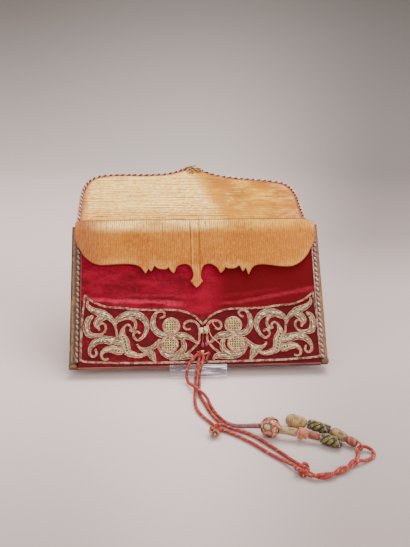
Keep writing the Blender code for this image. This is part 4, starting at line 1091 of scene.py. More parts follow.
@once
def flap_leather():
    """Tan leather of the inner flap: upright creases, a fold paler from wear and from a painted highlight,
    painted shade and highlights along its fold and edges, and tooled lines.
    """
    g = Finish("leather_inner", Specular_IOR_Level=0.12)
    u, v, edge = g.split(g.flat)
    grain = g.group("HideGrain", Flat=g.flat, Spacing=1.5, Length=7.0)
    tone, crease = grain["Tone"], grain["Crease"]
    reach = inner_reach()
    # the fold is paler from wear and from a painted highlight
    fold = g.step(v, 9.0, 13.0) * g.step(v, 27.0, 19.0)
    side = g.step(u, 70.0, -10.0, 0.3, 1.0) * g.step(u, -88.0, -66.0)
    fold_patches = g.step(g.noise(g.stretch(g.flat, 0.035, 0.08, 0.0), 1.0, 3.0), 0.34, 0.56, 0.35, 1.0)
    fold_wear_and_highlight = fold * side * fold_patches * (1.0 - crease * 0.6)
    strap = g.step(v, 5.0, 8.0) * g.step(v, reach - 64.0, reach - 70.0)
    tooled = tooling(g, u, v, reach, strap)
    # painted highlight along the pressed strap, just beside its left tooled line
    beside = g.step(abs(u - (TOOLED_LINES[0] + 1.0)), 0.7, 0.2)
    colour = g.washed(
        g.mix(g.step(tone, 0.34, 0.66), rgb(166, 94, 28), tint("flap_tan")),
        (g.step(u, 20.0, 84.0) * 0.5, rgb(194, 118, 40)),
        (fold_wear_and_highlight, g.mix(g.step(u, 0.0, 40.0), rgb(255, 206, 122), rgb(254, 204, 76))),
        (grain["Ridge"] * 0.36, rgb(210, 146, 74)),
        # painted shadow line at the top of the fold, where it meets the lining
        (g.step(v, 14.7, 13.4, 0.0, 0.8), rgb(104, 56, 26)),
        # painted highlight near the cut edges
        (g.step(edge, 7.0, 1.5) * g.step(tone, 0.4, 0.56) * 0.4, rgb(212, 148, 80)),
        (g.step(u, -60.0, -88.0) * 0.55, rgb(136, 76, 56)),
        (grain["Dark"] * 0.2, rgb(124, 66, 20)),
        (crease * 0.5, rgb(108, 58, 22)),
        (beside * strap * 0.3, rgb(236, 176, 96)),
        (tooled * g.step(g.noise(g.flat, 0.12, 2.0), 0.35, 0.55, 0.35, 0.8), rgb(112, 58, 20)),
        (g.step(edge, 1.1, 0.2) * 0.5, rgb(150, 84, 46)))
    return g.made(grain["Height"] - tooled, 0.22, Base_Color=colour,
                  Roughness=g.step(grain["Height"], 0.2, 0.9, 0.65, 0.5))


@once
def side_leather(side):
    """Gusset leather in lengthwise bands, with gilt and coloured threads."""
    g = Finish(f"gusset_{side}", Roughness=0.6)
    place = g.split(g.flat)[0] + (g.noise(g.stretch(g.flat, 0.0, 0.12, 0.0), 1.0) - 0.5) * 0.8
    (_, first), *bands = GUSSET_BANDS[side]
    layers = [(g.step(place, edge - 0.15, edge + 0.15), rgb(*paint)) for edge, paint in bands]
    gold = g.step(g.noise(g.stretch(g.flat, 0.3, 0.07, 0.0), 1.0, 3.0), 0.5, 0.62) * 0.55
    fleck = g.noise(g.stretch(g.flat, 0.9, 0.35, 1.0), 1.0, 3.0, 0.6)
    colour = g.washed(rgb(*first), *layers, (gold, rgb(168, 122, 60)),
                      (g.step(fleck, 0.54, 0.36, 0.0, 0.75), rgb(64, 40, 32)))
    return g.made(fleck, 0.25, Base_Color=colour)


@once
def gilt(part):
    """Old silver-gilt thread laid in ribs, with painted glints and painted shade between its ribs and at each
    stroke's edge; the dotted kind has a row of open stitches.
    """
    g = Finish(f"gilt_{part}", Metallic=0.2, Roughness=0.5)
    along, beside, half = g.split(g.flat)
    across = beside * half
    threads = g.group("LaidThreads", Flat=g.join(across + along * 0.12, along * 0.5, 1.0), Pitch=1.3, Tie=2.6)
    drawn = g.join(along * 0.0009, across * 0.0026, g.noise(g.position(), 60.0) * 0.02)
    metal = g.group("OldMetal", Place=drawn)
    colour = g.washed(
        g.mix(metal["Hue"], tint("gilt_warm"), tint("gilt_cool")),
        (metal["Rose"] * 0.6, rgb(168, 108, 84)),
        # painted glints
        (metal["Bright"], rgb(255, 240, 200)),
        (metal["Dull"] * 0.95, rgb(62, 42, 32)),
        ((1.0 - threads["Shade"]) * 0.8, rgb(68, 48, 36)),
        # painted shade where the body meets its edge cord
        (g.step(abs(beside), 0.6, 0.9, 0.0, 0.9), rgb(58, 38, 28)))
    spots = threads["Tied"] * 0.5
    if part == "dotted":
        hole = abs(g.math("FRACT", along / 2.2 + 40.0) - 0.5) * 2.2 + abs(across + 0.25)
        spots = g.math("MAXIMUM", spots * 0.4, g.step(hole, 1.05, 0.7) * g.step(half, 1.7, 2.1))
        colour = g.mix(0.3, colour, rgb(204, 170, 112))
    return g.made(threads["Height"] - spots, 0.18, Base_Color=g.mix(spots, colour, rgb(40, 26, 16)))


@once
def thread(name):
    """Twisted thread of one colour, with painted shade between its plies, dulled in patches and given painted
    glints.
    """
    light, dark, plies, tarnish_and_glint, metallic = THREADS[name]
    light = tint(light) if isinstance(light, str) else rgb(*light)
    dark = rgb(*dark)
    pale = tuple(min(1.0, c * 1.5 + 0.03) for c in light[:3]) + (1.0,)
    g = Finish(name, Metallic=metallic, Roughness=0.5)
    ply = g.group("TwistedPlies", Flat=g.flat, Plies=plies)
    metal = g.group("OldMetal", Place=g.position())
    # painted shade between the plies, then tarnished patches and painted glints
    colour = g.washed(g.mix(ply["Groove"], light, dark), (ply["Fleck"] * 0.4, dark),
                      (metal["Dull"] * tarnish_and_glint, dark), (metal["Bright"] * tarnish_and_glint, pale))
    return g.made(ply["Height"], 0.08, Base_Color=colour)


@once
def dashed():
    """Braid of silver, rose and dark threads, which come up in turn as dashes, with painted shade in its
    grooves.
    """
    g = Finish("braid_thread", Roughness=0.5)
    ply = g.group("TwistedPlies", Flat=g.flat, Plies=2.0)
    metal = g.group("OldMetal", Place=g.position())
    run = g.noise(g.position(), 330.0, 2.0, 0.6)
    colour = g.washed(
        g.mix(g.step(run, 0.42, 0.5), rgb(118, 70, 58), rgb(186, 130, 100)),
        (g.step(run, 0.52, 0.6), rgb(184, 166, 130)),
        (metal["Dull"] * 0.8, rgb(74, 46, 38)),
        # painted shade in the grooves between the plies
        (ply["Groove"] * 0.5, rgb(84, 54, 44)))
    return g.made(ply["Height"], 0.1, Base_Color=colour)


@once
def trim(part):
    """Edging cord of one pale metal ply and one dark silk ply, with a painted gleam and painted shade in its
    grooves.
    """
    pales, darks, gleam, shaded, low = TRIMS[part]
    g = Finish(f"trim_{part}", Metallic=0.1, Roughness=0.5)
    along, across, _ = g.split(g.flat)
    ply = g.group("TwistedPlies", Flat=g.flat, Plies=2.0)
    metal = g.group("OldMetal", Place=g.position())
    pale = g.mix(metal["Hue"], *(rgb(*paint) for paint in pales))
    pale = g.mix(metal["Bright"] * gleam, pale, rgb(246, 222, 204))
    silk = g.mix(ply["Fleck"], *(rgb(*paint) for paint in darks))
    dark = g.step(across, low, low + 0.2, 1.0, 0.0)
    if part == "flap":
        turn = g.turn(g.flat) + along * (2 * pi / FLAP_TURN)
        dark = dark * g.step(g.math("COSINE", turn), -0.35, 0.1)
    colour = g.washed(pale, (dark, silk), (ply["Groove"] * shaded, rgb(64, 40, 34)))
    return g.made(ply["Height"], 0.12, Base_Color=colour)


@once
def red_silk():
    """Red silk cord flecked with a gilt thread, with painted highlights and painted shade between its plies.
    """
    g = Finish("red_silk", Roughness=0.6, Sheen_Weight=0.1, Sheen_Tint=rgb(240, 150, 140))
    ply = g.group("TwistedPlies", Flat=g.flat, Plies=3.0)
    metal = g.group("OldMetal", Place=g.position())
    broken = g.step(g.noise(g.stretch(g.flat, 0.85, 0.5, 0.5), 1.0, 2.0), 0.5, 0.58)
    gold = g.step(g.split(g.flat)[1], 0.6, 0.85) * broken
    colour = g.washed(
        g.mix(metal["Hue"], tint("cord_red"), rgb(150, 46, 34)),
        # painted highlights
        (metal["Bright"] * 0.3, rgb(206, 92, 72)),
        (metal["Dull"] * 0.8, rgb(92, 34, 26)),
        # painted shade between the plies
        (ply["Groove"] * 0.85, rgb(74, 28, 22)),
        (gold * 0.68, rgb(188, 144, 92)))
    return g.made(ply["Height"], 0.16, Base_Color=colour)


@once
def binding(part):
    """Worn leather of the foot's binding and of its caps."""
    g = Finish(f"{part}_leather", Roughness=0.65)
    wear_and_seam_shade = g.noise(g.stretch(g.position(), 60.0, 400.0, 400.0), 1.0, 3.0)
    tones = {"foot": ((76, 36, 32), (112, 64, 56)), "cap": ((54, 36, 20), (112, 78, 40))}[part]
    colour = g.mix(g.step(wear_and_seam_shade, 0.4, 0.62), *(rgb(*paint) for paint in tones))
    if part == "foot":
        colour = g.mix(g.step(g.split(g.position())[0], -0.01, -0.06, 0.0, 0.6), colour, rgb(112, 76, 60))
    return g.made(wear_and_seam_shade, 0.1, Base_Color=colour)


@once
def wound(name):
    """Thread wound round a core, seen as close rings with painted shade between them, with stains."""
    light, dark, pitch = WINDINGS[name]
    light, dark = rgb(*light), rgb(*dark)
    g = Finish(f"wound_{name}", Roughness=0.5, Sheen_Weight=0.15)
    along = g.split(g.flat)[0] / pitch + g.turn(g.flat) * (0.5 / pi)
    rib = abs(g.math("SINE", along * pi))
    stain = g.noise(g.stretch(g.flat, 0.3, 0.9, 0.9), 1.0, 4.0, 0.65)
    specks = g.step(g.noise(g.stretch(g.flat, 0.8, 2.0, 2.0), 1.0, 2.0), 0.66, 0.72)
    colour = g.washed(
        g.mix(g.step(stain, 0.42, 0.66), light, dark),
        # painted shade between the rings
        (g.step(rib, 0.5, 0.0) * 0.5, dark),
        (specks * 0.5, rgb(92, 74, 50)))
    return g.made(rib, 0.16, Base_Color=colour)


@once
def whipped():
    """Red thread whipped over white, in narrow turns."""
    g = Finish("whipped", Roughness=0.55)
    turn = g.turn(g.flat) * (0.5 / pi)
    along = g.math("FRACT", g.split(g.flat)[0] / 4.2 + turn * 2.0 + 8.0)
    white = g.step(abs(along - 0.5), 0.2, 0.12)
    colour = g.mix(white, rgb(110, 42, 32), rgb(170, 98, 66))
    rib = abs(g.math("SINE", along * (3 * pi)))
    return g.made(rib, 0.12, Base_Color=g.mix(g.noise(g.flat, 1.4), colour, rgb(122, 54, 42)))


@once
def acrylic(part):
    """Clear polished sheet with faint scuffs, painted pale streaks and a painted glint; its sawn edges and
    bends are painted pale with a violet tint, as light gathered in them.
    """
    clear, streaked, tone = {
        "face": (0.04, 0.62, rgb(244, 240, 252)), "edge": (0.6, 0.9, rgb(255, 246, 255))}[part]
    g = Finish(f"acrylic_{part}", IOR=1.49, Base_Color=tone)
    position = g.position()
    x, y, z = g.split(position)
    highlight_streak = g.noise(g.stretch(position, 45.0, 260.0, 330.0), 1.0, 2.0)
    level = g.step(abs(z - 0.0086), 0.0011, 0.0004) * g.step(y, 0.01, 0.0)
    # painted glint: an opaque pale band across the lip
    glint = g.step(x, -0.006, 0.004) * g.step(highlight_streak, 0.4, 0.56) * level
    # painted highlight: pale streaks where the sheet turns more opaque
    alpha = g.step(highlight_streak, 0.52, 0.7, 0.0, streaked) * g.step(y, 0.012, 0.0, 0.12, 1.0) + clear
    scuff = g.step(g.noise(g.stretch(position, 60.0, 500.0, 500.0), 1.0, 3.0), 0.5, 0.7)
    levels = {"Alpha": g.math("MAXIMUM", alpha, glint), "Roughness": scuff * 0.2 + 0.06}
    if part == "edge":
        # painted violet reflection on the edges
        violet = g.step(g.noise(g.stretch(position, 180.0, 60.0, 60.0), 1.0, 2.0), 0.46, 0.6, 0.0, 0.6)
        levels["Base_Color"] = g.mix(violet, tone, rgb(186, 172, 226))
    return g.made(**levels)


@once
def paper():
    """Seamless studio paper, shaded off towards its far end and its two sides."""
    g = Finish("paper", Roughness=0.9)
    x, y, _ = g.split(g.flat)
    run = (y + 300.0) / 1700.0
    bearing = (x + 27.0) / g.math("MAXIMUM", y + 490.0, 260.0)
    left = g.step(bearing, 0.02, -0.18) * g.ramp(run, PAPER_LEFT)
    right = g.step(bearing, 0.04, 0.31) * g.ramp(run, PAPER_RIGHT)
    shade = g.ramp(run, PAPER_LEVEL) * (1.0 - (left + right))
    tone = g.mix(g.step(run, 0.3, 0.8), rgb(222, 199, 193), rgb(208, 193, 186))
    return g.made(g.noise(g.flat, 0.5, 3.0), 0.05, Base_Color=g.mix(shade, (0.0, 0.0, 0.0, 1.0), tone))


# Pieces

def make_stage():
    """Paper sweep, soft lights and the camera at the photograph's angle."""
    bend = [(SWEEP_FLAT + SWEEP_BEND * sin(radians(a)), SWEEP_BEND - SWEEP_BEND * cos(radians(a)))
            for a in range(6, 91, 6)]
    level = [(y, 0.0) for y in (-SWEEP_NEAR, -SWEEP_MIDDLE, SWEEP_FLAT)]
    rows = [*level, *bend, (SWEEP_FLAT + SWEEP_BEND, SWEEP_TOP)]
    across = np.linspace(-SWEEP_SIDE, SWEEP_SIDE, 23)
    verts = np.array([(x, y, z) for y, z in rows for x in across]) * MM
    tags = np.array([(x, run - SWEEP_NEAR, 0.0) for run in travelled(np.array(rows)) for x in across])
    faces = grid_faces(len(rows), len(across))
    build("paper_sweep", [(verts, faces, tags)], paper(), 180.0)

    for name, place, spread, power in LIGHTS:
        data = bpy.data.lights.new(name, "AREA")
        data.shape = "RECTANGLE"
        data.size, data.size_y = spread
        data.energy = power
        lamp = bpy.data.objects.new(name, data)
        lamp.location = place
        lamp.rotation_euler = (Vector(LIGHTS_AIM) - Vector(place)).to_track_quat("-Z", "Y").to_euler()
        bpy.context.scene.collection.objects.link(lamp)
    room = bpy.data.worlds.new("soft_room")
    room.use_nodes = True
    room.node_tree.nodes["Background"].inputs[0].default_value = ROOM_LIGHT
    room.node_tree.nodes["Background"].inputs[1].default_value = ROOM_STRENGTH
    bpy.context.scene.world = room

    azimuth, pitch, roll = (radians(angle) for angle in VIEW_ANGLES)
    target = Vector(VIEW_TARGET)
    away = Vector((sin(azimuth) * cos(pitch), -cos(azimuth) * cos(pitch), sin(pitch)))
    place = target + VIEW_DISTANCE * away
    data = bpy.data.cameras.new("photo_view")
    data.sensor_fit = "VERTICAL"
    data.sensor_height = SENSOR
    data.lens = FOCAL_PIXELS * SENSOR / IMAGE_HEIGHT
    data.clip_start = 0.01
    camera = bpy.data.objects.new("photo_view", data)
    look = (target - place).to_track_quat("-Z", "Y").to_matrix().to_4x4()
    camera.matrix_world = Matrix.Translation(place) @ look @ Matrix.Rotation(roll, 4, "Z")
    bpy.context.scene.collection.objects.link(camera)
    bpy.context.scene.camera = camera


def bent_line(rows):
    """Middle line of a bent sheet: its corners replaced by arcs of their radius."""
    corners = [np.array(row[:2]) for row in rows]
    line = [corners[0]]
    for i in range(1, len(corners) - 1):
        arriving, leaving = unit(corners[i - 1] - corners[i]), unit(corners[i + 1] - corners[i])
        half = np.arccos(arriving @ leaving) / 2
        centre = corners[i] + unit(arriving + leaving) * rows[i][2] / sin(half)
        start = corners[i] + arriving * rows[i][2] / np.tan(half) - centre
        turn = 1.0 if arriving[0] * leaving[1] - arriving[1] * leaving[0] < 0 else -1.0
        for angle in turn * (pi - 2 * half) * np.linspace(0.0, 1.0, 11):
            line.append(centre + (start[0] * cos(angle) - start[1] * sin(angle),
                                  start[0] * sin(angle) + start[1] * cos(angle)))
    return np.array(line + [corners[-1]])


def make_stand():
    """Bent clear sheet with softened edges."""
    line = bent_line(STAND_PROFILE)
    run = headings(line)
    lift = np.stack([-run[:, 1], run[:, 0]], -1) * SHEET / 2
    count = len(line)
    edges = (STAND_CENTRE - STAND_WIDTH / 2, STAND_CENTRE + STAND_WIDTH / 2)
    verts = np.array([world((x, y, z)) for x in edges for y, z in np.vstack([line + lift, line - lift])])
    faces, sides = [], []
    for i in range(count - 1):
        for a in (0, count):
            quad = [a + i, a + i + 1, 2 * count + a + i + 1, 2 * count + a + i]
            faces.append(quad if a else quad[::-1])
        for a in (0, 2 * count):
            quad = [a + i, a + i + 1, a + count + i + 1, a + count + i]
            sides.append(quad[::-1] if a else quad)
    faces += [[0, count, 3 * count, 2 * count], [k + count - 1 for k in (2 * count, 3 * count, count, 0)]]
    made = build("clear_stand", [(verts, faces + sides, verts / MM)], acrylic("face"), 40.0)
    made.data.materials.append(acrylic("edge"))
    for k, face in enumerate(made.data.polygons):
        low_bend = LIP_BEND <= k < 2 * LIP_BEND + 2 and face.normal.y < 0.2
        face.material_index = int(k >= len(faces) or low_bend)
    soften(made, "polished_edges", 0.35, 60.0)
    dress(made, "clear_acrylic", "stand")


def make_front():
    """Velvet front of the pocket."""
    wave = size("pile_wave")
    edge = [(-FRONT_HALF, GAP), (FRONT_HALF, GAP), (FRONT_HALF, FRONT_TOP), (-FRONT_HALF, FRONT_TOP)]

    def place(u, s):
        soft = wave * (wobble(u, s, 21.0, 1.0) + 0.5 * wobble(u, s, 7.0, 2.0))
        return front(u, s, soft * float(smoothstep(0.0, 6.0, FRONT_HALF - abs(u))) - 0.1)

    velvet_front = sheet("velvet_front", even_sides(edge + edge[:1], EDGE_STEP), size("sheet_step") * 1.2,
                         place, VELVET - 0.2, -1, velvet("front"), VELVET_RIM)
    dress(velvet_front, "crimson_velvet", "front_panel")


def side_gusset(side, name):
    """Leather of one side, cut down towards the front at its top."""
    across, short = np.array(GUSSET_SECTION).T
    heights = np.linspace(GUSSET_FOOT, GUSSET_TOP, 60)
    rings = []
    for s in heights:
        depth = DEPTH_FOOT + DEPTH_GROWTH * s - VELVET - GAP - 1.2
        deep = np.interp(across, GUSSET_TURNS, (depth, depth, VELVET + 1.9, VELVET + 1.1))
        deep = deep + GUSSET_RIPPLE * np.sin(across * 2.6)
        capped = np.minimum(s, GUSSET_TOP - short)
        face, back = (panel(side * across, capped, deep + lift * GUSSET_LEATHER) for lift in (0.5, -0.5))
        rings.append(np.vstack([face, back[::-1]] if side > 0 else [face[::-1], back]))
    rings = np.array(rings)
    count, around = rings.shape[:2]
    tags = np.zeros((count, around, 3))
    tags[..., 0] = np.abs(rings[..., 0]) / MM
    tags[..., 1] = heights[:, None]
    faces = grid_faces(count, around, closed=True)
    faces += [list(range(around))[::-1], list(range((count - 1) * around, count * around))]
    chunk = (rings.reshape(-1, 3), faces, tags.reshape(-1, 3))
    piece(f"side_gusset_{name}", [chunk], side_leather(name), "gusset_leather", f"gusset_{name}", sharp=60.0)


def corner_cap(side, name):
    """Rounded leather block at the foot of one gusset."""
    turn = circle(20)
    disc = np.stack([np.cos(turn), np.sin(turn)], -1)
    square = np.sign(disc) * np.abs(disc) ** CAP_SQUARENESS
    levels = np.array(CAP_LEVELS)
    path = panel(side * (FRONT_HALF + GAP + CAP_HALF[0]), levels[:, 0], CAP_DEPTH)
    rings = square[None] * levels[:, 1][:, None, None] * np.array(CAP_HALF) * MM
    tags = np.zeros((len(levels), len(turn), 3))
    tags[..., :2] = square * 3.0
    piece(f"foot_cap_{name}", [skin(path, rings, tags, up=OUT)], binding("cap"), "gusset_leather",
          f"corner_cap_{name}", sharp=60.0)


def make_sides():
    """Gussets, corner caps, side cords and the binding along the foot."""
    for side, name in ((-1, "left"), (1, "right")):
        side_gusset(side, name)
        out, lift, thick, pitch, piping = SEAM_CORDS[name]
        s = GUSSET_FOOT + np.linspace(0.2, 0.2 + SEAM_LENGTH, 90)
        piece(f"seam_cord_{name}", [rope(front(side * out, s, lift), thick * MM, 2, pitch * MM)], trim(name),
              "twisted_trim", f"side_cord_{name}")
        piece(f"seam_piping_{name}", [tube(front(side * piping, s, 0.15), PIPING_RADIUS * MM, 8)],
              thread(f"piping_{name}"), "twisted_trim")
        corner_cap(side, name)
    u = np.linspace(-FRONT_HALF, FRONT_HALF, 120)
    rolls = [tube(front(u, s, lift), radius * MM, 8) for s, lift, radius in FOOT_ROLLS]
    piece("foot_binding", rolls, binding("foot"), "gusset_leather")
    frame["nodes"]["foot_strip"].data.materials[0] = side_leather("left")


def flap_edge(distance):
    """Outer flap's outline, left foot over the peak to right foot, drawn in by distance."""
    left = [(FLAP_AXIS - out, up) for out, up in FLAP_OUTLINE]
    right = [(FLAP_AXIS + out * FLAP_RIGHT_SCALE, up) for out, up in FLAP_OUTLINE[-2::-1]]
    route = np.array(left + right)
    run = headings(route)
    return route + np.stack([run[:, 1], -run[:, 0]], -1) * distance + (0.0, BODY_HEIGHT)


def make_outer_flap():
    """Velvet back with its thrown-back flap."""
    half = BODY_WIDTH / 2
    edge = smooth_curve(flap_edge(TRIM_CORD + 2 * GAP), 1.5)
    neck = BODY_HEIGHT + 0.9
    body = [(-half, SHOULDER), (-half, 0.5), (half, 0.5), (half, SHOULDER), (edge[-1][0], neck)]
    outline = np.vstack([edge, body[-1:], even_sides(body, 2.4)[::-1], [(edge[0][0], neck)]])

    def back(u, v):
        soft = 0.25 * wobble(u, v, 26.0, 3.0) * float(smoothstep(0.0, 8.0, half - abs(u)))
        return outer_point(u, v, min(soft, 0.0))

    cover = sheet("velvet_back", outline[::-1], size("sheet_step") * 2.0, back, VELVET, -1,
                  velvet("back"), VELVET_RIM)
    dress(cover, "crimson_velvet", "back_panel")


def make_lining():
    """Leather lining on the outer flap's inner face."""
    edge = smooth_curve(flap_edge(TRIM_CORD + 3 * GAP), 1.0)
    foot = BODY_HEIGHT + 1.2
    sole = even_path(np.array([(edge[-1][0], foot), (edge[0][0], foot)]), 1.6)

    def lining(u, v):
        from_edge = min(u - edge[0][0], edge[-1][0] - u)
        crease = (u - 6.0) - 0.32 * (v - 122.0)
        soft = 0.5 * wobble(u, v * 1.6, 30.0, 4.0) + 0.22 * wobble(u * 0.5, v * 2.2, 9.0, 5.0)
        soft += 0.55 * np.exp(-(crease / 5.0) ** 2) - 0.35 * np.exp(-((crease - 9.0) / 5.0) ** 2)
        near = float(smoothstep(0.0, 9.0, from_edge)) * float(smoothstep(foot, foot + 8.0, v))
        return outer_point(u, v, GAP + 0.1 + max(soft, -0.2) * near)

    inner = sheet("flap_leather", np.vstack([edge, sole])[::-1], size("sheet_step"), lining, 0.9, 1,
                  lining_leather(), 0.3)
    dress(inner, "tan_leather", "flap_lining")


def make_flap_trim():
    """Cord and seam thread round the outer flap, and the tuft on its peak."""
    def run_round(distance, lift):
        return np.array([outer_point(u, v, lift) for u, v in smooth_curve(flap_edge(distance), 1.5)])

    piece("flap_cord", [rope(run_round(TRIM_CORD / 2, 0.9), FLAP_CORD * MM, 2, FLAP_TURN * MM)], trim("flap"),
          "twisted_trim", "flap_edge_cord")
    piece("flap_seam_thread", [twine(run_round(TRIM_CORD + 0.75, 1.2), SEAM_THREAD)],
          thread("seam_thread"), "twisted_trim")

    peak = BODY_HEIGHT + FLAP_OUTLINE[-1][1]
    chunks = []
    turn = np.linspace(0.0, 2 * pi, 31)
    for u, drop, wide, tall, lean in TUFT_LOOPS:
        across = u + wide * np.cos(turn) * cos(lean) - tall * np.sin(turn) * sin(lean)
        along = peak - drop + wide * np.cos(turn) * sin(lean) + tall * np.sin(turn) * cos(lean)
        loop = [outer_point(a, b, 2.0 + 0.7 * sin(2 * c)) for a, b, c in zip(across, along, turn)]
        chunks.append(twine(np.array(loop), TUFT_THREAD))
    piece("peak_tuft", chunks, thread("tuft_thread"), "silver_gilt_thread", "flap_peak_tuft")


def inner_reach():
    """Length of the inner flap from its seam round the fold to level s = 0."""
    return float(travelled(smooth_curve(INNER_SECTION, 0.8))[-1]) + INNER_SECTION[-1][0]


def make_inner_flap():
    """Leather flap over the mouth, with its pendant."""
    section = smooth_curve(INNER_SECTION, 0.8)
    lengths = travelled(section)
    total = lengths[-1]
    run = unit(np.gradient(section, axis=0))
    foot = INNER_SECTION[-1][0]
    reach = total + foot

    def place(u, v):
        if v <= total:
            s, n = (np.interp(v, lengths, section[:, i]) for i in (0, 1))
            across, out = np.interp(v, lengths, run[:, 1]), -np.interp(v, lengths, run[:, 0])
        else:
            s, n, across, out = foot - (v - total), section[-1, 1], 0.0, 1.0
        hang = max(foot - s, 0.0) if v > total else 0.0
        n += INNER_FLARE * (hang / 40.0) ** 2 - hang * DEPTH_GROWTH
        over = smoothstep(4.0, 9.0, v) * (1.0 - smoothstep(14.0, 26.0, v))
        s -= float(over) * float(3.0 * smoothstep(80.0, 93.0, u) + 1.5 * smoothstep(-86.0, -94.0, u))
        soft = 0.2 * wobble(u, v, 16.0, 6.0) + 0.1 * wobble(u, v, 5.0, 7.0)
        soft *= float(smoothstep(8.0, 16.0, v))
        return panel(u, s + soft * across, n + soft * out)

    left = [(INNER_AXIS - out, reach - s) for out, s, _ in INNER_OUTLINE]
    right = [(INNER_AXIS + out, reach - s + drop) for out, s, drop in INNER_OUTLINE[::-1]]
    lower = smooth_curve(left + [(INNER_AXIS, reach - PENDANT_TIP)] + right, 0.7)
    lower[:, 0] -= PENDANT_LEAN * smoothstep(reach - 70.0, reach - 61.0, lower[:, 1])
    corners = [(INNER_HALF * side + INNER_AXIS, v)
               for side, v in ((1, 12.0), (1, 0.3), (-1, 0.3), (-1, 12.0))]
    upper = even_sides(np.array([lower[-1], *corners, lower[0]]), 1.4)
    flap = sheet("inner_leather", np.vstack([lower, upper[1:]])[::-1], size("sheet_step") * 0.8, place,
                 INNER_LEATHER, 0, flap_leather(), 0.32)
    dress(flap, "tan_leather", "inner_flap")


def needlework(out, s, side):
    """u on one half of the embroidery from the distance to its axis, and s."""
    scale = -1.0 if side < 0 else EMBROIDERY_RIGHT_SCALE
    return EMBROIDERY_AXIS + np.asarray(out, float) * scale, np.asarray(s, float)


def stroke_chunks(rows, side, level, crown):
    """Padded body of a stroke and the fine cord along its edge."""
    fine = smooth_curve(rows, 0.8)
    path = front(*needlework(fine[:, 0], fine[:, 1], side), level)
    along = travelled(path) / MM
    half = fine[:, 2]
    for distance in (along, along[-1] - along):
        near = np.clip(distance + 0.25, 0.0, half)
        half = np.sqrt(np.maximum(half ** 2 - (half - near) ** 2, 0.02))
    half = np.maximum(half - 2 * EDGE_THREAD + 0.02, 0.12)
    across = np.sin(np.linspace(pi / 2, -pi / 2, 11))
    tall = np.minimum(crown, 0.3 + 0.34 * half)[:, None] * (1.0 - across ** 2)[None] ** 0.45
    tall = tall - 0.16 * smoothstep(1.6, 2.6, half)[:, None] * np.exp(-(across / 0.18) ** 2)[None]
    rings = np.stack([half[:, None] * across[None], tall], -1) * MM
    tags = np.stack(np.broadcast_arrays(along[:, None], across[None], half[:, None]), -1)
    body = skin(path, rings, tags, up=OUT)
    _, sides, _ = path_frames(path, OUT)
    reach = ((half + 0.9 * EDGE_THREAD) * MM)[:, None]
    loop = np.vstack([path + sides * reach, (path - sides * reach)[::-1]])
    loop = even_path(np.vstack([loop, loop[:1]]), 0.7 * MM)[:-1] + OUT * 0.28 * MM
    return body, tube(loop, EDGE_THREAD * MM, 6, up=OUT, closed=True)


def bud_chunks(out, s, radius, side):
    """Domed bud, its lattice of threads and the rings round it."""
    u, s = needlework(out, s, side)
    angle = np.linspace(0.0, pi / 2 * 0.97, 8)
    path = front(np.full(8, u), np.full(8, s), 0.1 + BUD_HEIGHT * np.sin(angle))
    turn = circle(40)
    rings = np.stack([np.cos(turn), np.sin(turn)], -1)[None] * (radius * np.cos(angle))[:, None, None] * MM
    tags = np.concatenate([rings / MM, np.ones((8, 40, 1))], -1)
    dome = skin(path, rings, tags, up=np.array((1.0, 0.0, 0.0)))
    lattice = []
    for offset in np.arange(-3, 4) * LATTICE_SPACING:
        chord = sqrt(max((0.86 * radius) ** 2 - offset ** 2, 0.0))
        if chord < 1.5:
            continue
        t = np.linspace(-chord, chord, 16)
        lift = 0.3 + BUD_HEIGHT * np.sqrt(np.maximum(1.0 - (t ** 2 + offset ** 2) / radius ** 2, 0.0))
        bow = offset + 0.12 * np.sin(2.1 * t)
        for a, b, over in ((t, bow, 0.0), (bow, t, 0.12)):
            lattice.append(tube(front(u + a, s + b, lift + over), LATTICE_RADIUS * MM, 6, up=OUT))
    rims = []
    for share, lift, thick in BUD_RINGS:
        ring = front(u + share * radius * np.cos(turn), s + share * radius * np.sin(turn), lift)
        rims.append(tube(ring, thick * MM, 8, up=OUT, closed=True))
    return dome, lattice, rims


def make_scrollwork():
    """Scrollwork, its edge cords and the lattice buds."""
    crown = size("crown")
    for side, name in ((-1, "left"), (1, "right")):
        bodies, dotted, edges, domes, threads = [], [], [], [], []
        for k, (stroke, rows) in enumerate(STROKES.items()):
            body, edge = stroke_chunks(rows, side, 0.02 + 0.035 * (k % 4), crown)
            (dotted if stroke in DOTTED else bodies).append(body)
            edges.append(edge)
        for bud in BUDS:
            dome, lattice, rims = bud_chunks(*bud, side)
            domes.append(dome)
            threads += lattice
            edges += rims
        slot = "silver_gilt_thread"
        piece(f"scroll_{name}", bodies, gilt("scroll"), slot, f"scrollwork_{name}", sharp=60.0)
        piece(f"dotted_scroll_{name}", dotted, gilt("dotted"), slot, sharp=60.0)
        piece(f"scroll_edges_{name}", edges, thread("edge_thread"), slot)
        # near-black domes under the lattices: painted shade in their holes
        piece(f"bud_base_{name}", domes, thread("bud_base"), slot)
        piece(f"bud_lattice_{name}", threads, thread("lattice_thread"), slot)


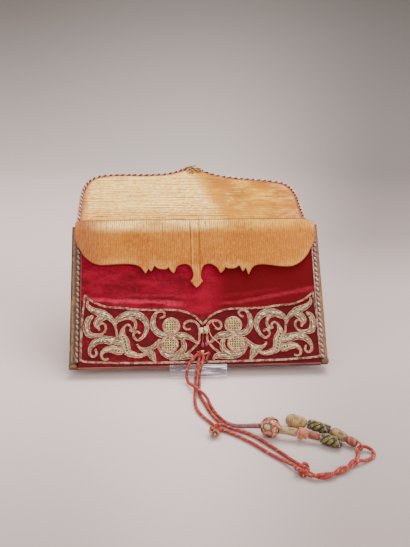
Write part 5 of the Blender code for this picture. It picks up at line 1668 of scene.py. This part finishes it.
def make_braid():
    """Frame braid round the embroidered field, and a loose thread."""
    rows = np.vstack([smooth_curve(run, 1.0)[:-1] for run in BRAID_RUNS] + [BRAID_RUNS[-1][-1:]])
    left, right = (np.stack(needlework(rows[:, 0], rows[:, 1], side), -1) for side in (-1, 1))
    route = np.vstack([left, right[::-1][1:]])
    path = front(route[:, 0], route[:, 1], 0.55)
    _, sides, _ = path_frames(path, OUT, closed=True)
    strands = []
    for hand in (-1, 1):
        strand = path + sides * hand * BRAID_SHIFT * MM
        strands.append(rope(np.vstack([strand, strand[:1]]), BRAID_STRAND * MM, 2, -hand * BRAID_TURN * MM,
                            up=OUT, closed=True, around=10, step=0.26 * MM))
    piece("front_braid", strands, dashed(), "silver_gilt_thread", "frame_braid")
    loose = [twine(front(*smooth_curve(rows, 0.5).T), LOOSE_THREAD) for rows in LOOSE_THREADS]
    piece("loose_thread", loose, thread("pink_thread"), "red_cord")


def woven_lead(centre, radii, turn, shift, girth):
    """One thread of a three-lead knot woven over a ball, shifted beside the lead's middle."""
    t = circle(60 * BALL_BIGHTS)
    lat, lon = radians(BALL_TILT) * np.sin(BALL_BIGHTS * t), 3.0 * t
    ball = np.stack([np.cos(lat) * np.cos(lon), np.cos(lat) * np.sin(lon), np.sin(lat)], -1)
    out = unit(ball / np.array(radii)) @ turn.T
    path = centre + (ball * (1.0 + 0.05 * np.sin(2 * BALL_BIGHTS * t))[:, None] * radii) @ turn.T * MM
    _, sides, _ = path_frames(path, out, closed=True)
    return tube(path + sides * shift * BALL_SPACING * MM, girth * MM, 8, up=out, closed=True)


def core_ball(centre, radii, turn):
    """Wound core, round or flattened, with its axis turned."""
    lat = np.linspace(-pi / 2 * 0.97, pi / 2 * 0.97, 14)
    axis = np.array((0.0, 0.0, 1.0)) @ turn.T
    path = centre + np.sin(lat)[:, None] * radii[2] * axis * MM
    angle = circle(28)
    shape = np.stack([radii[0] * np.cos(angle), radii[1] * np.sin(angle)], -1)
    rings = shape[None] * np.cos(lat)[:, None, None] * MM
    height = np.broadcast_to((np.sin(lat) * radii[2])[:, None, None], (14, 28, 1))
    tags = np.concatenate([height, rings / MM], -1)
    return skin(path, rings, tags, up=np.array((0.0, 1.0, 0.0)) @ turn.T)


def knotted(centre, radii, turn, diameter, pitch):
    """Overhand knot of twisted cord."""
    t = np.linspace(0.0, 2 * pi, 90)
    path = np.stack([np.sin(t) + 2 * np.sin(2 * t), np.cos(t) - 2 * np.cos(2 * t), -1.2 * np.sin(3 * t)], -1)
    path = path / (3.0, 3.0, 1.2) * (np.array(radii) - diameter / 2)
    return rope(centre + path @ turn.T * MM, diameter * MM, 3, pitch * MM, step=0.4 * MM)


def make_fastening():
    """Woven button, its loop, and the hitch with its bow of cord."""
    def laid(rows, spacing, diameter, plies, pitch):
        return rope(front(*smooth_curve(rows, spacing).T), diameter * MM, plies, pitch * MM)

    stand_up = np.array(Matrix.Rotation(-SLOPE, 3, "X")) @ turned_axes((0.0, -1.0, 0.0))
    gold, tan = thread("button_thread"), thread("button_tan")
    lumps = {"pale": [], "tan": [], "olive": [core_ball(front(3.3, 25.2, 1.5), (3.0, 2.4, 0.9), stand_up)]}
    for shade, u, s, lift, wide, tall in BUTTON_KNOTS:
        lumps[shade].append(knotted(front(u, s, lift), (wide, tall, 1.25), stand_up, 1.1, 2.4))
    piece("woven_button", lumps["pale"], gold, "silver_gilt_thread", "centre_button")
    piece("button_turns", lumps["tan"], tan, "silver_gilt_thread")
    piece("button_core", lumps["olive"], thread("button_olive"), "silver_gilt_thread")

    strands = [laid(BUTTON_LOOP, 0.5, 0.9, 2, 2.6)]
    for u, up in ((2.1, 14.8), (4.9, 15.3)):
        strands.append(core_ball(front(u, up, 1.2), (1.15, 1.9, 0.8), stand_up))
    piece("thread_loop", strands, thread("loop_silk"), "red_cord", "button_loop")

    centre = front(-0.4, 8.4, 3.5)
    chunks = [knotted(centre, (2.2, 2.4, 1.6), stand_up @ turned_axes((0.3, 0.2, 1.0)), 1.35, 3.4),
              laid(HITCH_STUB, 0.4, 1.7, 3, 3.4)]
    piece("hitch_link", [laid(HITCH_LINK, 0.4, 0.9, 2, 2.0)], tan, "silver_gilt_thread")
    piece("hitch_thread", [knotted(front(1.7, 9.3, 3.8), (1.3, 1.5, 1.1), stand_up, 0.9, 2.0)], gold,
          "silver_gilt_thread")
    for route in (SINGLE_CORD, UPPER_CORD, LOWER_CORD):
        lead = smooth_curve(np.vstack([centre, world(route[:2])]), 0.5 * MM)
        chunks.append(rope(lead, CORD * MM, 3, 4.4 * MM))
    piece("cord_knot", chunks, red_silk(), "red_cord", "cord_hitch")


def doubled_route():
    """The doubled cord, out along one strand, round the bight and back along the other."""
    middle = smooth_curve(DOUBLED_ROUTE, 3.0)
    across = unit(np.cross(headings(middle), UP))
    turn = (2 * pi * travelled(middle) / STRAND_PITCH)[:, None]
    offset = (across * np.cos(turn) + UP * np.sin(turn)) * STRAND_OFFSET
    return np.vstack([middle + offset, BIGHT_ROUTE, (middle - offset)[::-1]])


def make_knots():
    """The two knots of the paired cords, and the pale curl beside the smaller one."""
    knots = {}
    for name, node, at, radii, axis, thick in CORD_KNOTS:
        centre = world(at) + UP * 0.15 * MM
        chunks = [knotted(centre, radii, turned_axes(axis), thick, 5.0),
                  knotted(centre, np.array(radii) * 0.72, turned_axes((0.6, 0.3, 0.6)), thick * 0.8, 4.0)]
        knots[name] = piece(name, chunks, red_silk(), "red_cord", node)
    curl = knotted(world(SMALL_KNOT_AT) + np.array((-1.8, -3.4, -0.5)) * MM, (3.9, 3.3, 2.2),
                   turned_axes((-0.4, -0.6, 0.7)), 1.6, 3.4)
    knots["knot_curl"] = piece("knot_curl", [curl], thread("knot_cream"), "red_cord")
    return knots


def make_ball():
    """The woven ball on the single cord, with its heart and its whipped throat."""
    turn = turned_axes(BALL_AXIS)
    centre = world(BALL_AT)
    lead = {shift: woven_lead(centre, BALL_RADII, turn, shift, girth) for shift, girth in BALL_LEADS}
    core = core_ball(centre, BALL_CORE, turn)
    ball = piece("woven_ball", [core, lead[-0.5], lead[0.5]], thread("ball_cream"), "cream_thread",
                 "ball_knot")
    streaks = piece("ball_streaks", [lead[-1.4], lead[1.4]], thread("ball_red"), "red_cord")
    heart_at = centre + np.array(HEART_FROM_BALL) * MM
    facing = turned_axes(HEART_FROM_BALL)
    round_it = np.linspace(0.0, 2 * pi, 33)
    oval = np.stack([2.5 * np.cos(round_it), 2.1 * np.sin(round_it), 0.0 * round_it], -1)
    heart = piece("ball_heart", [core_ball(heart_at, (2.1, 1.8, 0.75), facing)], thread("heart_cream"),
                  "cream_thread")
    ring = piece("ball_heart_ring", [rope(heart_at + oval @ facing.T * MM, 0.8 * MM, 2, 2.0 * MM)],
                 thread("heart_olive"), "cream_thread")
    throat = even_path(smooth_curve(world(SINGLE_CORD[-5:]), 1.0 * MM), 0.5 * MM)
    swelling = np.interp(np.linspace(0.0, 1.0, len(throat)), (0.0, 0.2, 1.0), (1.0, 1.25, 1.7))
    whipping = piece("mauve_whipping", [tube(throat, swelling * MM, 14)], wound("mauve"), "red_cord")
    return [ball, streaks, heart, ring, whipping]


def toggle_pieces(kind):
    """Pieces of one toggle, without the frame's own nodes."""
    return [o for o in bpy.data.objects if o.name.startswith(f"{kind}_") and o.name not in frame["nodes"]]


def make_cords():
    """The free cords and the knots on them."""
    pitch = size("cord_twist")
    knots = make_knots()
    ball = make_ball()
    twinned = np.vstack([KNOT_AT, doubled_route(), KNOT_AT])
    above, below = (np.vstack([route, KNOT_AT]) for route in (UPPER_CORD, LOWER_CORD))
    cords = []
    for name, node, rows, pieces in (
        ("cord_to_ball", "cord_single", SINGLE_CORD, ball + toggle_pieces("toggle")),
        ("cord_above", "cord_upper", above, [knots["joining_knot"]]),
        ("cord_below", "cord_lower", below, [knots["little_knot"], knots["knot_curl"]]),
        ("cord_twinned", "cord_doubled", twinned, toggle_pieces("end") + [bpy.data.objects["wire_eye"]]),
    ):
        path = even_path(smooth_curve(world(rows), 1.0 * MM), 1.0 * MM)
        made = piece(name, [rope(path, CORD * SILK_SPREAD * MM, 3, pitch * MM)], red_silk(), "red_cord", node)
        cords.append((made, path, pieces))
    for made, path, pieces in cords:
        length = float(travelled(path)[-1])
        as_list(pieces)


def turned_chunk(start, end, profile, swell):
    """Turned solid between two points, its radius changed by swell(along, angle)."""
    start, end = world(start), world(end)
    stations = np.linspace(0.0, 1.0, 56)
    marks = smooth_curve(profile, 0.02)
    radius = np.interp(stations, marks[:, 0], marks[:, 1])
    angle = circle(40)[None]
    along = (stations * np.linalg.norm(end - start))[:, None]
    reach = (radius[:, None] + swell(along / MM, angle)) * MM
    return skin(start + (end - start) * stations[:, None], *round_rings(reach, angle, along))


def plaited(start, end, profile):
    """Threads plaited over and under round a core, in a list for each colour."""
    start, end = world(start), world(end)
    t = np.linspace(0.03, 0.97, 90)
    marks = smooth_curve(profile, 0.02)
    radius = np.interp(t, marks[:, 0], marks[:, 1]) - 0.35
    _, side, out = path_frames(np.array([start, end]))
    colours = {"yellow": [], "dark": [], "pale": []}
    for hand in (1, -1):
        for i in range(PLAIT_STRANDS):
            angle = hand * 2 * pi * PLAIT_TURNS * t + 2 * pi * i / PLAIT_STRANDS
            angle = angle + 0.3 * np.sin(5.0 * t + 2.0 * i + hand)
            over = 0.35 * np.cos(PLAIT_STRANDS * 2 * pi * PLAIT_TURNS * t) + 0.1
            reach = (radius + hand * over) * MM
            girth = 1.12 if hand > 0 else 0.92
            around = side[0] * np.cos(angle)[:, None] + out[0] * np.sin(angle)[:, None]
            path = start + (end - start) * t[:, None] + around * reach[:, None]
            _, across, _ = path_frames(path, around)
            for line in (-0.45, 0.45):
                shade = "pale" if i == 0 and hand * line < 0 else ("yellow" if hand > 0 else "dark")
                colours[shade].append(rope(path + across * line * MM, girth * MM, 3, 2.2 * MM, around=12))
    return colours


def ring_round(start, end, share, radius, diameter):
    """Small twisted ring round a turned piece."""
    start, end = world(start), world(end)
    _, side, out = path_frames(np.array([start, end]))
    turn = np.linspace(0.0, 2 * pi, 41)[:, None]
    path = start + (end - start) * share + (side[0] * np.cos(turn) + out[0] * np.sin(turn)) * radius * MM
    return rope(path, diameter * MM, 2, diameter * 2.2 * MM, closed=True, around=10)


def make_toggles():
    """Wound, plaited and whipped pieces at the ends of the cords, and the eye."""
    def winding(along, angle):
        return 0.05 * np.abs(np.sin(pi * along / 0.7 + angle / 2))

    def stout(along, angle):
        return 0.25 + winding(along, angle)

    def core(along, angle):
        return -0.9 + 0.0 * along * angle

    finishes = {
        "toggle_shaft": (wound("shaft"), stout, "cream_thread"),
        "toggle_collar": (wound("collar"), winding, "red_cord"),
        "toggle_grip": (wound("red"), winding, "red_cord"),
        "toggle_plait": (thread("dark_silk"), core, "plait_thread"),
        "end_knob": (wound("cream"), winding, "cream_thread"),
        "end_plait": (thread("dark_silk"), core, "plait_thread"),
        "end_sleeve": (wound("sleeve"), winding, "cream_thread"),
        "end_whipping": (whipped(), winding, "red_cord"),
    }
    for name, (start, end, profile) in TURNED.items():
        finish, swell, slot = finishes[name]
        piece(f"{name}_threads", [turned_chunk(start, end, profile, swell)], finish, slot, name, sharp=70.0)
    for name in ("toggle_plait", "end_plait"):
        colours = plaited(*TURNED[name])
        for shade, silk in (("yellow", "yellow_silk"), ("dark", "dark_silk"), ("pale", "lilac_silk")):
            piece(f"{name}_{shade}", colours[shade], thread(silk), "plait_thread")
    for name, node, diameter, silk, slot, rows in TOGGLE_RINGS:
        rings = [ring_round(*TURNED[node][:2], share, radius, diameter) for share, radius in rows]
        piece(name, rings, thread(silk), slot)

    start, end = (world(point) for point in TURNED["end_whipping"][:2])
    face = end + unit(end - start) * 0.5 * MM
    run, rise = np.array(EYE_RUN), UP * EYE_RADIUS
    bend = [run * (2.5 + EYE_RADIUS * sin(angle)) + rise * cos(angle) for angle in np.linspace(0.0, pi, 15)]
    rows = [face + offset * MM for offset in (rise, rise + run * 1.1, *bend, run * 1.1 - rise, -rise)]
    piece("wire_eye", [rope(smooth_curve(rows, 0.4 * MM), 1.5 * MM, 2, 2.4 * MM)], thread("eye_wire"),
          "red_cord", "end_eye")


# Settings, operators and panel

def size_choice(label, words, value, low, high):
    """A length that can be changed before building; value, low and high in millimetres."""
    return bpy.props.FloatProperty(name=label, description=words, unit="LENGTH", precision=5,
                                   default=value * MM, min=low * MM, max=high * MM)


def colour_choice(label, words, value):
    """A colour that can be changed before building."""
    return bpy.props.FloatVectorProperty(name=label, description=words, subtype="COLOR", size=4,
                                         min=0.0, max=1.0, default=value)


class PouchSizes(bpy.types.PropertyGroup):
    """Sizes that can be changed before building"""
    sheet_step: size_choice("Sheet step", "Spacing of the points in cloth and leather", 1.4, 0.8, 4.0)
    pile_wave: size_choice("Pile wave", "Unevenness of the worn velvet", 0.2, 0.0, 0.6)
    crown: size_choice("Crown", "Height of the padded needlework", 1.05, 0.4, 1.3)
    cord_twist: size_choice("Cord twist", "Length of one turn of a free cord's plies", 4.4, 3.0, 12.0)


class PouchColours(bpy.types.PropertyGroup):
    """Colours that can be changed before building"""
    velvet_lit: colour_choice("Velvet, lit", "Velvet where its pile stands to the light", rgb(135, 18, 39))
    velvet_deep: colour_choice("Velvet, deep", "Velvet where its pile leans away", rgb(94, 11, 24))
    lining_tan: colour_choice("Lining", "Leather inside the outer flap", rgb(198, 131, 6))
    # the pale lining colour is a painted highlight
    rubbed_tan: colour_choice("Rubbed lining", "Pale worn leather inside the outer flap", rgb(255, 197, 94))
    flap_tan: colour_choice("Inner flap", "Leather of the flap over the mouth", rgb(178, 108, 36))
    gilt_warm: colour_choice("Gilt, warm", "Silver-gilt thread where its gold is left", rgb(136, 106, 60))
    gilt_cool: colour_choice("Gilt, cool", "Silver-gilt thread worn down to silver", rgb(134, 126, 100))
    edge_thread: colour_choice("Edging", "Rose thread round the scrollwork", rgb(188, 134, 102))
    cord_red: colour_choice("Cord", "Silk of the hanging cords", rgb(155, 28, 33))
    plait_yellow: colour_choice("Plait, yellow", "Yellow silk of the toggles' plaits", rgb(126, 112, 36))
    plait_dark: colour_choice("Plait, dark", "Purple silk of the toggles' plaits", rgb(66, 48, 56))


class PouchStep(bpy.types.Operator):
    """One step of the build"""
    bl_options = {"REGISTER", "UNDO"}


class POUCH_OT_stage(PouchStep):
    """Lay the paper sweep and set the lights and the camera"""
    bl_idname = "pouch.stage"
    bl_label = "Stage"

    def execute(self, context):
        make_stage()
        return {"FINISHED"}


class POUCH_OT_stand(PouchStep):
    """Bend the clear sheet that holds the pouch up"""
    bl_idname = "pouch.stand"
    bl_label = "Clear stand"

    def execute(self, context):
        make_stand()
        return {"FINISHED"}


class POUCH_OT_toggles(PouchStep):
    """Wind, plait and whip the pieces at the ends of the cords"""
    bl_idname = "pouch.toggles"
    bl_label = "Toggles"

    def execute(self, context):
        make_toggles()
        return {"FINISHED"}


class POUCH_OT_cords(PouchStep):
    """Lay the free cords with their knots"""
    bl_idname = "pouch.cords"
    bl_label = "Cords and knots"

    def execute(self, context):
        make_cords()
        return {"FINISHED"}


class POUCH_OT_front(PouchStep):
    """Stretch the velvet front of the pocket"""
    bl_idname = "pouch.front"
    bl_label = "Velvet front"

    def execute(self, context):
        make_front()
        return {"FINISHED"}


class POUCH_OT_sides(PouchStep):
    """Fit the gussets, corner caps, side cords and foot binding"""
    bl_idname = "pouch.sides"
    bl_label = "Gussets and seams"

    def execute(self, context):
        make_sides()
        return {"FINISHED"}


class POUCH_OT_outer_flap(PouchStep):
    """Fold the velvet back over into the outer flap"""
    bl_idname = "pouch.outer_flap"
    bl_label = "Back and outer flap"

    def execute(self, context):
        make_outer_flap()
        return {"FINISHED"}


class POUCH_OT_lining(PouchStep):
    """Line the outer flap with leather"""
    bl_idname = "pouch.lining"
    bl_label = "Flap lining"

    def execute(self, context):
        make_lining()
        return {"FINISHED"}


class POUCH_OT_flap_trim(PouchStep):
    """Sew the edge cord and the peak's tuft to the outer flap"""
    bl_idname = "pouch.flap_trim"
    bl_label = "Flap cord and tuft"

    def execute(self, context):
        make_flap_trim()
        return {"FINISHED"}


class POUCH_OT_inner_flap(PouchStep):
    """Fold the tooled leather flap over the mouth"""
    bl_idname = "pouch.inner_flap"
    bl_label = "Inner flap"

    def execute(self, context):
        make_inner_flap()
        return {"FINISHED"}


class POUCH_OT_scrollwork(PouchStep):
    """Raise the silver-gilt scrollwork and its buds"""
    bl_idname = "pouch.scrollwork"
    bl_label = "Scrollwork"

    def execute(self, context):
        make_scrollwork()
        return {"FINISHED"}


class POUCH_OT_braid(PouchStep):
    """Lay the braid that frames the embroidered field"""
    bl_idname = "pouch.braid"
    bl_label = "Frame braid"

    def execute(self, context):
        make_braid()
        return {"FINISHED"}


class POUCH_OT_fastening(PouchStep):
    """Tie the thread button, its loop and the hitch of the cords"""
    bl_idname = "pouch.fastening"
    bl_label = "Button and hitch"

    def execute(self, context):
        make_fastening()
        return {"FINISHED"}


STEPS = (
    POUCH_OT_stage, POUCH_OT_stand, POUCH_OT_toggles, POUCH_OT_cords, POUCH_OT_front, POUCH_OT_sides,
    POUCH_OT_outer_flap, POUCH_OT_lining, POUCH_OT_flap_trim, POUCH_OT_inner_flap, POUCH_OT_scrollwork,
    POUCH_OT_braid, POUCH_OT_fastening,
)


class POUCH_PT_build(bpy.types.Panel):
    """Sizes, colours and building steps of the pouch"""
    bl_label = "Wallet pouch"
    bl_space_type = "VIEW_3D"
    bl_region_type = "UI"
    bl_category = "Pouch"

    def draw(self, context):
        for chosen in (context.scene.pouch_sizes, context.scene.pouch_colours):
            box = self.layout.box()
            for name in type(chosen).__annotations__:
                box.prop(chosen, name)
        for step in STEPS:
            self.layout.operator(step.bl_idname)


CLASSES = (PouchSizes, PouchColours, *STEPS, POUCH_PT_build)


def register():
    for item in CLASSES:
        bpy.utils.register_class(item)
    bpy.types.Scene.pouch_sizes = bpy.props.PointerProperty(type=PouchSizes)
    bpy.types.Scene.pouch_colours = bpy.props.PointerProperty(type=PouchColours)


def unregister():
    del bpy.types.Scene.pouch_colours
    del bpy.types.Scene.pouch_sizes
    for item in reversed(CLASSES):
        bpy.utils.unregister_class(item)


def main():
    """Build the pouch step by step."""
    register()
    bpy.ops.pouch.stage()
    bpy.ops.pouch.stand()
    bpy.ops.pouch.toggles()
    bpy.ops.pouch.cords()
    bpy.ops.pouch.front()
    bpy.ops.pouch.sides()
    bpy.ops.pouch.outer_flap()
    bpy.ops.pouch.lining()
    bpy.ops.pouch.flap_trim()
    bpy.ops.pouch.inner_flap()
    bpy.ops.pouch.scrollwork()
    bpy.ops.pouch.braid()
    bpy.ops.pouch.fastening()


if __name__ == "__main__":
    main()
